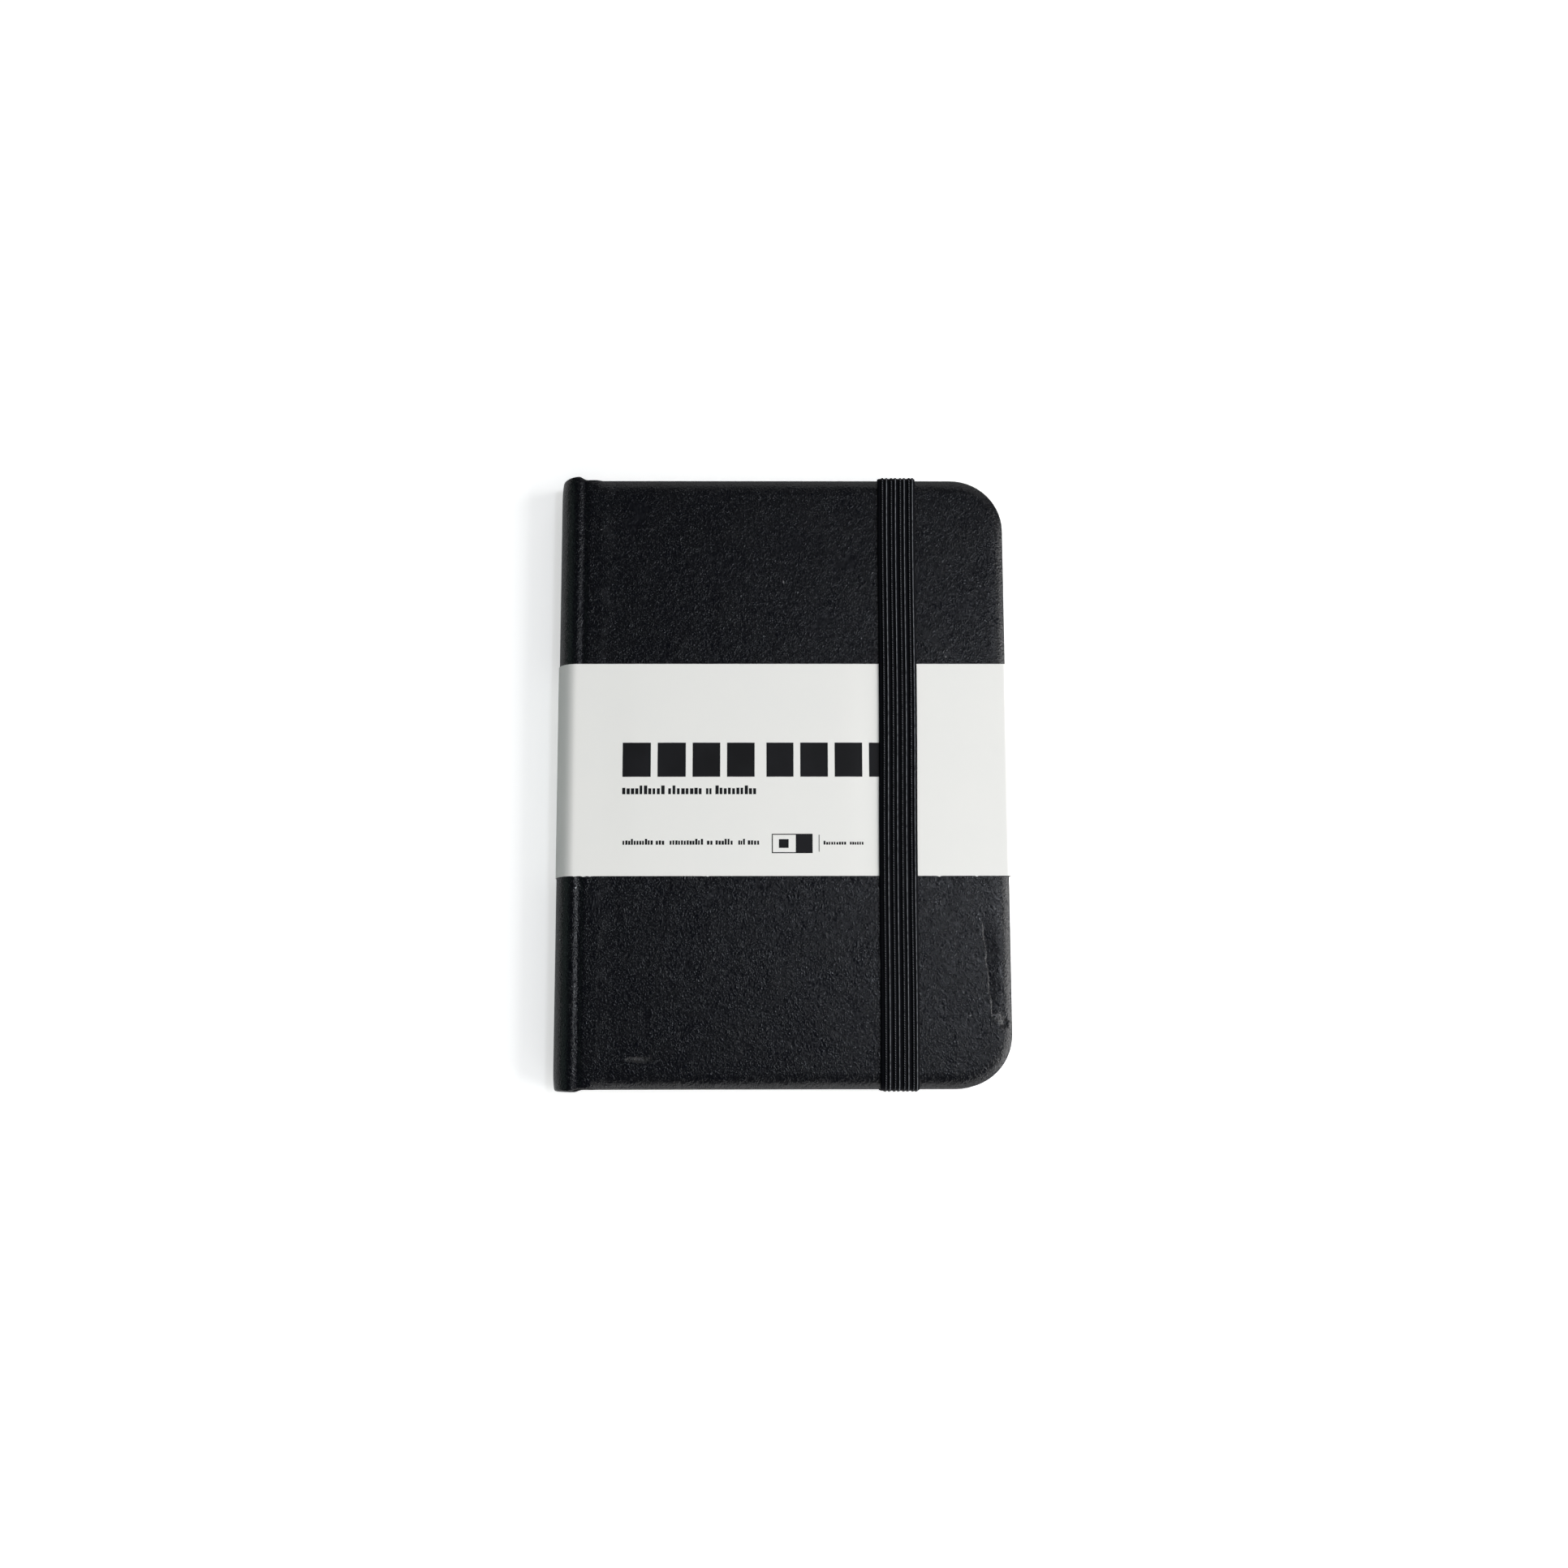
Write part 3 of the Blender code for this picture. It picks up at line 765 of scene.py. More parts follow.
@dataclass(frozen=True)
class PaperFinish(Finish):
    """Paper or board, smooth or coarse, with an optional ruling."""

    fibres: float = 900.0
    cloudiness: float = 0.5
    ruling: float = 0.0
    fleck: float = 0.0
    foot: float = -94.0 * MM
    head: float = 89.0 * MM
    line_strength: float = 0.75
    fleck_tone: Colour = tone(0.14, 0.12, 0.10)
    line_tone: Colour = tone(0.36, 0.38, 0.42)

    def make(self, effects: Effects) -> bpy.types.Material:
        """Makes the material.

        Args:
            effects: The shared node groups.

        Returns:
            The material.
        """
        material, nodes, shader, place = self.start()
        fibre = nodes.group(effects.fibre, {"Place": place, "Fibres a metre": self.fibres})
        height, cloud, fleck = fibre.outputs
        share = nodes.ramp(cloud, 0.3, 0.7, 0.0, self.cloudiness)
        colour = nodes.mix(share, self.colour, self.other)
        if self.fleck:
            colour = nodes.mix(nodes.times(fleck, self.fleck), colour, self.fleck_tone)
        if self.ruling:
            colour = nodes.mix(self.lines(nodes, place), colour, self.line_tone)
        nodes.feed(shader.inputs["Base Color"], colour)
        shine = nodes.ramp(cloud, 0.2, 0.8, self.roughness - 0.06, self.roughness + 0.06)
        nodes.feed(shader.inputs["Roughness"], shine)
        self.bump(nodes, shader, height, 0.6)
        return material

    def lines(self, nodes: Nodes, place: Socket) -> Socket:
        """Fine ruled lines across the page, with a blank head.

        Args:
            nodes: The material's tree.
            place: The piece's coordinates.

        Returns:
            The lines' mask.
        """
        along = nodes.parts(place)[1]
        share = nodes.math("FRACT", nodes.math("DIVIDE", nodes.plus(along, 1.0), self.ruling))
        near = nodes.math("ABSOLUTE", nodes.minus(share, 0.5))
        line = nodes.ramp(near, 0.012, 0.022, 1.0, 0.0)
        below_head = nodes.math("LESS_THAN", along, self.head)
        above_foot = nodes.math("GREATER_THAN", along, self.foot)
        ruled = nodes.times(below_head, above_foot)
        return nodes.times(nodes.times(line, ruled), self.line_strength)


@dataclass(frozen=True)
class ClothFinish(Finish):
    """Woven cloth or thread, by the directions its threads run in."""

    threads: float = 2000.0
    open_weave: bool = False

    def make(self, effects: Effects) -> bpy.types.Material:
        """Makes the material.

        Args:
            effects: The shared node groups.

        Returns:
            The material.
        """
        material, nodes, shader, place = self.start()
        x, y, z = nodes.parts(place)
        weave = nodes.group(
            effects.weave,
            {"Along": y, "Across": nodes.plus(x, z), "Threads a metre": self.threads},
        )
        fuzz = nodes.noise(place, 5200.0, 3.0)
        share = nodes.times(weave.outputs["Thread"], fuzz)
        colour = nodes.mix(share, self.colour, self.other)
        if self.open_weave:
            gap = nodes.ramp(weave.outputs["Height"], 0.35, 0.7, 1.0, 0.0)
            colour = nodes.mix(gap, colour, tone(0.22, 0.20, 0.17))
        nodes.feed(shader.inputs["Base Color"], colour)
        height = nodes.plus(weave.outputs["Height"], nodes.times(fuzz, 0.4))
        self.bump(nodes, shader, height)
        return material


@dataclass(frozen=True)
class ElasticFinish(Finish):
    """Woven elastic: rubber cords wound with thread, some smooth and some twisted. The crests of the ribs are painted
    pale, in dots along the twisted ones: partly a lighter thread, partly painted highlight.
    """

    twist: float = 0.80 * MM
    slant: float = 1.4
    wander: float = 0.0003

    def make(self, effects: Effects) -> bpy.types.Material:
        """Makes the material.

        Args:
            effects: The shared node groups.

        Returns:
            The material.
        """
        material, nodes, shader, place = self.start()
        x, y, z = nodes.parts(place)
        along = nodes.plus(y, z)
        lean = nodes.plus(along, nodes.times(x, self.slant))
        wobble = nodes.times(nodes.noise(place, 700.0, 2.0), self.wander)
        wind = nodes.math("SINE", nodes.times(nodes.plus(lean, wobble), 2 * math.pi / self.twist))
        rib = nodes.add("ShaderNodeAttribute", attribute_name="rib", attribute_type="GEOMETRY").outputs["Fac"]
        fuzz = nodes.noise(nodes.stretched(place, (1.0, 0.16, 1.0)), 5200.0, 3.0)
        twisted = nodes.add("ShaderNodeAttribute", attribute_name="twisted", attribute_type="GEOMETRY").outputs["Fac"]
        # Painted highlight and lighter thread: the crests of the ribs are painted pale, and along the twisted ribs the
        # pale breaks into dots at each turn of the thread.
        pale = nodes.times(nodes.ramp(rib, 0.80, 1.0), nodes.ramp(fuzz, 0.30, 0.62, 0.25, 1.0))
        dots = nodes.ramp(wind, -0.3, 0.8, 0.0, 1.0)
        loose = nodes.minus(1.0, nodes.times(twisted, nodes.minus(1.0, dots)))
        pale = nodes.times(pale, loose)
        dust = nodes.group(effects.dust, {"Place": place, "Amount": 0.10}).outputs[0]
        colour = nodes.mix(pale, self.colour, self.other)
        colour = nodes.mix(nodes.times(dust, 0.6), colour, tone(0.25, 0.25, 0.25))
        nodes.feed(shader.inputs["Base Color"], colour)
        height = nodes.plus(nodes.times(wind, 0.5), nodes.times(fuzz, 0.3))
        self.bump(nodes, shader, height)
        return material


@dataclass(frozen=True)
class InkFinish(Finish):
    """Black printing ink, a little uneven on the paper."""

    def make(self, effects: Effects) -> bpy.types.Material:
        """Makes the material.

        Args:
            effects: The shared node groups.

        Returns:
            The material.
        """
        material, nodes, shader, place = self.start()
        fibre = nodes.group(effects.fibre, {"Place": place, "Fibres a metre": 1600.0})
        colour = nodes.mix(nodes.ramp(fibre.outputs["Cloud"], 0.3, 0.7), self.colour, self.other)
        nodes.feed(shader.inputs["Base Color"], colour)
        self.bump(nodes, shader, fibre.outputs["Height"], 0.4)
        return material


class Palette:
    """Every finish of the notebook, made once."""

    def __init__(self, layout: Layout) -> None:
        """Makes the materials.

        Args:
            layout: Where the front cover's face is, for the marks on it.
        """
        effects = Effects()
        marks = (
            Mark((0.0708, -0.0815), (0.0032, 0.0042), 6.0, 0.75, 0.9),
            Mark((0.0738, -0.0830), (0.0026, 0.0028), -12.0, 0.10, 0.5),
            Mark((-0.0480, -0.0955), (0.0075, 0.0016), -12.0, 0.20, 0.7),
            Mark((0.0006, 0.0680), (0.0004, 0.0013), -3.0, 1.0, 0.2),
        )
        black, deep = tone(0.0012, 0.0016, 0.0042), tone(0.0009, 0.0012, 0.0032)
        leather = {"roughness": 0.19, "specular": 0.42, "relief": 0.000055}
        self.front_leather = LeatherFinish(
            "Leather front", black, deep, marks=marks, crease=Crease(), mark_level=layout.cover[1].z, **leather,
        ).make(effects)
        self.leather = LeatherFinish("Leather", black, deep, **leather).make(effects)
        self.band = PaperFinish(
            "Band paper", tone(0.94, 0.93, 0.895), tone(0.92, 0.915, 0.885), roughness=0.50, specular=0.35,
            relief=0.00001, fibres=1400.0,
        ).make(effects)
        self.ink = InkFinish(
            "Band ink", tone(0.006, 0.006, 0.007), tone(0.010, 0.010, 0.012), roughness=0.50, specular=0.2,
            relief=0.000008,
        ).make(effects)
        cream, warm = tone(0.86, 0.83, 0.74), tone(0.83, 0.79, 0.69)
        self.page = PaperFinish(
            "Ruled page", cream, warm, roughness=0.75, relief=0.00002, ruling=7.0 * MM,
        ).make(effects)
        self.page_edge = PaperFinish(
            "Page edges", tone(0.80, 0.77, 0.68), tone(0.66, 0.62, 0.53), roughness=0.85, relief=0.00004,
            fibres=1500.0, cloudiness=0.9,
        ).make(effects)
        self.endpaper = PaperFinish(
            "Endpaper", tone(0.80, 0.775, 0.70), tone(0.76, 0.73, 0.65), roughness=0.75, relief=0.00003, fleck=0.2,
        ).make(effects)
        self.board = PaperFinish(
            "Greyboard", tone(0.34, 0.30, 0.25), tone(0.24, 0.21, 0.18), roughness=0.9, relief=0.00010,
            fibres=500.0, cloudiness=0.8, fleck=0.7,
        ).make(effects)
        self.card = PaperFinish(
            "Spine card", tone(0.38, 0.34, 0.28), tone(0.30, 0.27, 0.22), roughness=0.9, relief=0.00006,
            fibres=700.0, cloudiness=0.8, fleck=0.5,
        ).make(effects)
        self.lining = ClothFinish(
            "Gauze", tone(0.66, 0.62, 0.53), tone(0.76, 0.72, 0.63), roughness=0.9, relief=0.00012,
            threads=900.0, open_weave=True,
        ).make(effects)
        self.thread = ClothFinish(
            "Waxed thread", tone(0.84, 0.82, 0.76), tone(0.74, 0.71, 0.64), roughness=0.55, relief=0.00005,
            threads=4200.0,
        ).make(effects)
        self.headband = ClothFinish(
            "Headband cloth", tone(0.020, 0.021, 0.024), tone(0.060, 0.061, 0.066), roughness=0.75, sheen=0.2,
            relief=0.00008, threads=2600.0,
        ).make(effects)
        # The elastic's second tone is the pale of its rib crests: partly a lighter thread, partly painted highlight.
        self.strap = ElasticFinish(
            "Elastic", tone(0.0014, 0.0017, 0.0030), tone(0.24, 0.25, 0.27), roughness=0.55, specular=0.05,
            relief=0.00003,
        ).make(effects)


# ---------------------------------------------------------------- leather case


@dataclass(frozen=True)
class EdgeProfile:
    """How leather wraps an edge: rolled softly down, round the board and in over its inside.

    Each station is (distance in from the edge, depth under the outer face).
    """

    thickness: float
    roll: float = 1.1 * MM
    reach: float = 6.2 * MM
    shoulder: float = 0.9 * MM
    heel: float = 0.7 * MM
    lip_reach: float = 12.0 * MM
    lip: float = 0.35 * MM
    sheet: float = 0.5 * MM
    board_gap: float = 0.62 * MM

    def outer(self) -> list[tuple[float, float, float]]:
        """The sheet's outer face, from the cover's face over the shoulder to its side.

        Returns:
            Inset, depth and slope at each station.
        """
        lead = math.atan(3 * self.roll / (self.reach - self.shoulder))
        inner = self.shoulder * (1 - math.sin(lead))
        line = []
        for inset in spread(self.reach, inner, 12):
            share = (self.reach - inset) / (self.reach - inner)
            line.append((inset, self.roll * share**3, lead * share**2))
        for turn in spread(lead, math.pi / 2, 7)[1:]:
            line.append((
                inner - self.shoulder * (math.sin(turn) - math.sin(lead)),
                self.roll + self.shoulder * (math.cos(lead) - math.cos(turn)),
                turn,
            ))
        return line

    def under(self, gap: float) -> list[Flat]:
        """The outer face moved in under itself, from the side back to the cover's face.

        Args:
            gap: How far in.

        Returns:
            Pairs of inset and depth.
        """
        return [
            (inset + gap * math.sin(slope), depth + gap * math.cos(slope))
            for inset, depth, slope in reversed(self.outer())
        ]

    def stations(self) -> list[Flat]:
        """The stations in order, from the outer face round the edge to the inside of the sheet.

        Returns:
            Pairs of inset and depth.
        """
        line = [(inset, depth) for inset, depth, _ in self.outer()]
        for turn in spread(0.0, math.pi / 2, 6):
            line.append((
                self.heel * (1 - math.cos(turn)),
                self.thickness - self.heel * (1 - math.sin(turn)),
            ))
        line.append((self.lip_reach, self.thickness))
        line.append((self.lip_reach, self.thickness - self.lip))
        line.append((self.sheet, self.thickness - self.lip))
        return line + self.under(self.sheet)


@dataclass
class Case:
    """The leather case: two covers, two joints and the rounded spine."""

    layout: Layout
    palette: Palette
    corner: float = 18.0 * MM
    groove_depth: float = 0.32 * MM
    groove_share: float = 0.45
    spine_wall: float = 2.2 * MM
    groove_wall: float = 1.0 * MM
    wall_rise: Flat = (0.7, 0.3)
    cap_fall: float = 3.0
    cap_curve: float = 1.5
    cap_rise: dict[str, Flat] = field(
        default_factory=lambda: {"head": (0.7 * MM, 1.15 * MM), "tail": (0.65 * MM, 0.75 * MM)}
    )
    seam_gap: float = 0.025 * MM
    arc_steps: int = 12
    groove_steps: int = 18

    def __post_init__(self) -> None:
        """Works out the edge that all the leather shares."""
        low, high = self.layout.cover
        self.edge = EdgeProfile(high.z - low.z)
        self.spine_edge = EdgeProfile(high.z - low.z, roll=0.45 * MM, reach=8.0 * MM)
        self.face = high.z
        self.half = high.y
        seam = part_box("spine_skin")[1].z + self.seam_gap
        self.seam_turn = math.asin((seam - self.layout.middle) / self.layout.half_stack)

    def build(self) -> None:
        """Builds all the leather and dresses the boards and the spine's card."""
        for side in Side:
            self.make_cover(side)
            self.make_board(side)
            self.make_joint(side)
        self.make_spine()
        dress("spine_card", self.palette.card)

    def make_cover(self, side: Side) -> None:
        """Makes one cover's leather.

        Args:
            side: Which cover.
        """
        maker = MeshMaker(self.layout.mirror(side))
        plan = Plan(self.layout.seam_x, self.layout.cover[1].x, self.half, self.corner, straight_steps=24)
        rings = []
        for inset, depth in self.edge.stations():
            rings.append(maker.row(plan.ring(inset, lambda _x, depth=depth: self.face - depth)))
        maker.stack(rings, closed=False)
        maker.face([ring[0] for ring in rings] + [ring[-1] for ring in reversed(rings)])
        finish = self.palette.front_leather if side is Side.FRONT else self.palette.leather
        piece = maker.build(f"{side.value}_cover_leather", [finish])
        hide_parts(f"{side.value}_skin")
        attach(piece, f"{side.value}_cover")
        LOG.info("%s cover leather: %d faces", side.value, len(piece.data.polygons))

    def make_board(self, side: Side) -> None:
        """Makes one cover's board, its edges rounded to fit the leather.

        Args:
            side: Which cover.
        """
        low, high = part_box("front_board")
        maker = MeshMaker(self.layout.mirror(side))
        plan = Plan(low.x, self.layout.cover[1].x, self.half, self.corner, straight_steps=8)
        stations = [(self.edge.board_gap, self.face - low.z)] + self.edge.under(self.edge.board_gap)
        rings = [maker.row(plan.ring(inset, lambda _x, depth=depth: self.face - depth)) for inset, depth in stations]
        maker.stack(rings)
        piece = maker.build(f"{side.value}_greyboard", [self.palette.board])
        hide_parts(f"{side.value}_board")
        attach(piece, f"{side.value}_cover")
        LOG.info("%s board: %d faces", side.value, len(piece.data.polygons))

    def arc_place(self, turn: float) -> tuple[Vector, Vector]:
        """A place on the spine's round outer face.

        Args:
            turn: Angle from the spine's middle towards the front.

        Returns:
            The place and the way out, as (x, z).
        """
        layout = self.layout
        place = Vector((
            layout.hinge.x - layout.bulge * math.cos(turn),
            layout.middle + layout.half_stack * math.sin(turn),
        ))
        out = Vector((-layout.half_stack * math.cos(turn), layout.bulge * math.sin(turn))).normalized()
        return place, out

    def groove_place(self, share: float) -> tuple[Vector, Vector]:
        """A place in the groove between the spine's shoulder and the cover.

        Args:
            share: 0 at the shoulder and 1 at the cover.

        Returns:
            The place and the way out, as (x, z).
        """
        left, right = self.layout.hinge.x, self.layout.seam_x
        turn = 2 * math.pi * min(share / self.groove_share, 1.0)
        place = Vector((left + (right - left) * share, self.face - self.groove_depth * (1 - math.cos(turn)) / 2))
        slope = -self.groove_depth * math.pi * math.sin(turn) / ((right - left) * self.groove_share)
        return place, Vector((-slope, 1.0)).normalized()

    def half_length(self, end: str, place: Vector) -> float:
        """How far the leather reaches from the middle of the notebook at one end.

        Args:
            end: "head" or "tail".
            place: Where on the case, as (x, z).

        Returns:
            The length.
        """
        layout = self.layout
        low, high = self.cap_rise[end]
        rise = abs(place.y - layout.middle) / layout.half_stack
        if place.x > layout.hinge.x:
            share = (place.x - layout.hinge.x) / (layout.seam_x - layout.hinge.x)
            return self.half + high * (1 - smooth(share * self.cap_fall))
        return self.half + low + (high - low) * rise**self.cap_curve

    def cross_loop(self, maker: MeshMaker, place: Vector, out: Vector, wall: float, share: float = 0.0) -> list[int]:
        """Adds the leather's section at one place on the case, from the head round to the tail.

        Args:
            maker: The piece's mesh.
            place: Where, as (x, z).
            out: The way out of the surface, as (x, z).
            wall: Thickness of the case there.
            share: How far its edge is on the way from the spine's, at 0, to the cover's, at 1.

        Returns:
            The loop's point numbers.
        """
        scale = wall / self.edge.thickness
        near, far = self.spine_edge.stations(), self.edge.stations()
        stations = [(a + (c - a) * share, b + (d - b) * share) for (a, b), (c, d) in zip(near, far)]
        points = []
        for end, sign in (("head", 1), ("tail", -1)):
            half = self.half_length(end, place)
            for inset, depth in stations if sign > 0 else reversed(stations):
                at = place - out * (depth * scale)
                points.append((at.x, sign * (half - inset), at.y))
        return maker.row(points)

    def make_joint(self, side: Side) -> None:
        """Makes the leather over the joint between the spine and one cover.

        Args:
            side: Which cover.
        """
        maker = MeshMaker(self.layout.mirror(side))
        loops = []
        for turn in spread(self.seam_turn, math.pi / 2, self.arc_steps):
            place, out = self.arc_place(turn)
            share = (turn - self.seam_turn) / (math.pi / 2 - self.seam_turn)
            wall = self.spine_wall + (self.groove_wall - self.spine_wall) * smooth(share)
            loops.append(self.cross_loop(maker, place, out, wall))
        for share in spread(0.0, 1.0, self.groove_steps)[1:]:
            place, out = self.groove_place(share)
            thicker = smooth((share - self.wall_rise[0]) / self.wall_rise[1])
            wall = self.groove_wall + (self.edge.thickness - self.groove_wall) * thicker
            loops.append(self.cross_loop(maker, place, out, wall, smooth(share)))
        maker.tube(loops)
        piece = maker.build(f"{side.value}_joint_leather", [self.palette.leather])
        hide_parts(f"{side.value}_joint_skin")
        start, _ = self.arc_place(self.seam_turn)
        bend_between(piece, self.layout, side, f"{side.value}_cover")
        LOG.info("%s joint leather: %d faces", side.value, len(piece.data.polygons))

    def make_spine(self) -> None:
        """Makes the rounded spine with its turned-in caps."""
        maker = MeshMaker()
        loops = []
        for turn in spread(-self.seam_turn, self.seam_turn, 2 * self.arc_steps):
            place, out = self.arc_place(turn)
            loops.append(self.cross_loop(maker, place, out, self.spine_wall))
        maker.tube(loops)
        piece = maker.build("spine_leather", [self.palette.leather])
        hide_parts("spine_skin")
        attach(piece, "text_block")
        LOG.info("spine leather: %d faces", len(piece.data.polygons))


def bend_between(piece: bpy.types.Object, layout: Layout, side: Side, body: str) -> None:
    """Bakes a piece's place into its mesh; it does not bend.

    Args:
        piece: The piece.
        layout: The shared places; not used.
        side: Which cover it goes with; not used.
        body: The turning body; not used.
    """
    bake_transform(piece)


# ---------------------------------------------------------------- paper inside


@dataclass
class TextBlock:
    """The pages: sewn sections with their single leaves, the endpapers, the headbands and what binds them."""

    layout: Layout
    palette: Palette
    page_corner: float = 15.0 * MM
    leaves: int = 8
    leaf_notch: float = 0.07 * MM
    leaf_shift: float = 0.05 * MM
    curl_start: float = 1.0 * MM
    curl_reach: float = 11.0 * MM
    curl_step: float = 0.7 * MM
    softened: float = 0.03 * MM
    endpaper_left: float = -68.30 * MM
    endpaper_gap: float = 0.02 * MM
    cord_ridge: float = 0.10 * MM
    cord_pitch: float = 0.55 * MM
    seed: int = 11

    def build(self) -> None:
        """Builds the paper and the headbands, and dresses the lining and the thread."""
        draw = random.Random(self.seed)
        for name, body in self.sections():
            self.make_section(name, body, draw)
        for side in Side:
            self.make_flyleaf(side)
            self.make_pastedown(side)
        for name in ("headband", "tailband"):
            self.make_headband(name)
        for name, finish in (("spine_lining", self.palette.lining), ("sewing_thread", self.palette.thread)):
            dress(name, finish)

    def sections(self) -> list[tuple[str, str]]:
        """Lists the sections.

        Returns:
            Their names, each with the body that it belongs to.
        """
        turning = {"section_01": "first_section", "section_02": "second_section"}
        names = sorted(name for name in frame["nodes"] if name.startswith("section_"))
        return [(name, turning.get(name, "text_block")) for name in names]

    def curl_bends(self) -> tuple[float, ...]:
        """Distances from the binding at which a leaf gets extra points."""
        return tuple(spread(0.0, self.curl_reach, round(self.curl_reach / self.curl_step)))

    def curl(self, piece: bpy.types.Object, side: Side, body: str) -> None:
        """Bakes a leaf's or a section's place into its mesh; it does not curl.

        Args:
            piece: The leaf.
            side: Which end of the block it is at; not used.
            body: The body that it goes with; not used.
        """
        bend_between(piece, self.layout, side, body)

    def make_section(self, name: str, body: str, draw: random.Random) -> None:
        """Makes one section, with the edge of each folded leaf.

        Args:
            name: The section's node.
            body: The body that it belongs to; only a text block's section is attached to it.
            draw: Source of the leaves' small shifts.
        """
        low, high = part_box(name)
        moving = body != "text_block"
        plan = Plan(low.x, high.x, high.y, self.page_corner, bends=self.curl_bends() if moving else ())
        maker = MeshMaker()
        pitch = (high.z - low.z) / self.leaves
        stations = []
        for leaf in range(self.leaves):
            floor = low.z + leaf * pitch
            shift = draw.uniform(0.0, self.leaf_shift)
            stations += [(self.leaf_notch, floor), (shift, floor + 0.3 * pitch), (shift, floor + 0.7 * pitch)]
        stations[0] = (stations[1][0] + 0.01 * MM, low.z)
        stations.append((stations[-1][0] + 0.01 * MM, high.z))
        rings = [maker.row(plan.ring(inset, lambda _x, z=z: z)) for inset, z in stations]
        maker.stack(rings, finish=1)
        piece = maker.build(name + "_leaves", [self.palette.page, self.palette.page_edge])
        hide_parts(name)
        if moving:
            self.curl(piece, Side.FRONT, body)
        else:
            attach(piece, body)
        LOG.info("%s: %d faces", name, len(piece.data.polygons))

    def sheet(
        self, name: str, plan: Plan, side: Side, height: Callable[[float], float], thickness: float,
    ) -> bpy.types.Object:
        """Makes one sheet of paper from its outline.

        Args:
            name: The piece's name.
            plan: Its outline.
            side: Which cover it goes with.
            height: Its lower face at each x, as on the front.
            thickness: Its thickness.

        Returns:
            The piece.
        """
        maker = MeshMaker(self.layout.mirror(side))
        soft = self.softened
        stations = [(soft, 0.0), (0.0, thickness * 0.3), (0.0, thickness * 0.7), (soft, thickness)]
        rings = [maker.row(plan.ring(inset, lambda x, rise=rise: height(x) + rise)) for inset, rise in stations]
        maker.stack(rings)
        return maker.build(name, [self.palette.endpaper])

    def make_flyleaf(self, side: Side) -> None:
        """Makes one flyleaf.

        Args:
            side: Which cover it goes with.
        """
        low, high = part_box("front_flyleaf")
        plan = Plan(low.x, high.x, high.y, self.page_corner, bends=self.curl_bends())
        piece = self.sheet(f"{side.value}_flyleaf_paper", plan, side, lambda _x: low.z, high.z - low.z)
        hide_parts(f"{side.value}_flyleaf")
        self.curl(piece, side, f"{side.value}_leaf")
        LOG.info("%s flyleaf: %d faces", side.value, len(piece.data.polygons))

    def make_pastedown(self, side: Side) -> None:
        """Makes the endpaper pasted to one cover, which runs on across the joint to the first leaf.

        Args:
            side: Which cover.
        """
        low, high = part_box("front_pastedown")
        leaf_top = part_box("front_flyleaf")[1].z + self.endpaper_gap
        start, settled = self.endpaper_left, low.x

        def height(x: float) -> float:
            """The paper's lower face: down on the flyleaf at the binding, and up on the cover."""
            return leaf_top + (low.z - leaf_top) * smooth((x - start) / (settled - start))

        bends = tuple(spread(0.0, settled - start + 2 * MM, 14))
        plan = Plan(start, high.x, high.y, self.page_corner, bends=bends)
        piece = self.sheet(f"{side.value}_pastedown_paper", plan, side, height, high.z - low.z)
        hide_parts(f"{side.value}_pastedown")
        bend_between(piece, self.layout, side, f"{side.value}_cover")
        LOG.info("%s pastedown: %d faces", side.value, len(piece.data.polygons))

    def make_headband(self, name: str) -> None:
        """Makes one headband: a cord wrapped in cloth, with the ridges of its threads.

        Args:
            name: "headband" or "tailband".
        """
        low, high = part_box(name)
        radius = (high.y - low.y) / 2
        centre_y = (high.y + low.y) / 2
        middle = self.layout.middle
        bow = high.x - low.x - 2 * radius
        reach = (high.z - low.z) / 2 - radius * 0.2
        maker = MeshMaker()
        loops = []
        steps = round(2 * reach / (self.cord_pitch / 6))
        for z in spread(middle - reach, middle + reach, steps):
            share = (z - middle) / reach
            centre_x = high.x - radius - bow * (1 - share * share)
            ridge = self.cord_ridge * (0.5 + 0.5 * math.cos(2 * math.pi * z / self.cord_pitch))
            size = radius - self.cord_ridge + ridge
            loop = []
            for turn in spread(0.0, 2 * math.pi, 14)[:-1]:
                loop.append((centre_x + size * math.cos(turn), centre_y + size * math.sin(turn), z))
            loops.append(maker.row(loop))
        maker.tube(loops)
        piece = maker.build(name + "_cloth", [self.palette.headband])
        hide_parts(name)
        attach(piece, "text_block")
        LOG.info("%s: %d faces", name, len(piece.data.polygons))


# ---------------------------------------------------------------- belly band


@dataclass(frozen=True)
class SmallPrint:
    """A row of small blocks, in millimetres: its foot, height and pitch, and the stretches that it fills."""

    low: float
    tall: float
    pitch: float
    stretches: tuple[Flat, ...]


@dataclass(frozen=True)
class InkBlock:
    """A printed block, given by its low and high corners on the band."""

    left: float
    low: float
    right: float
    high: float


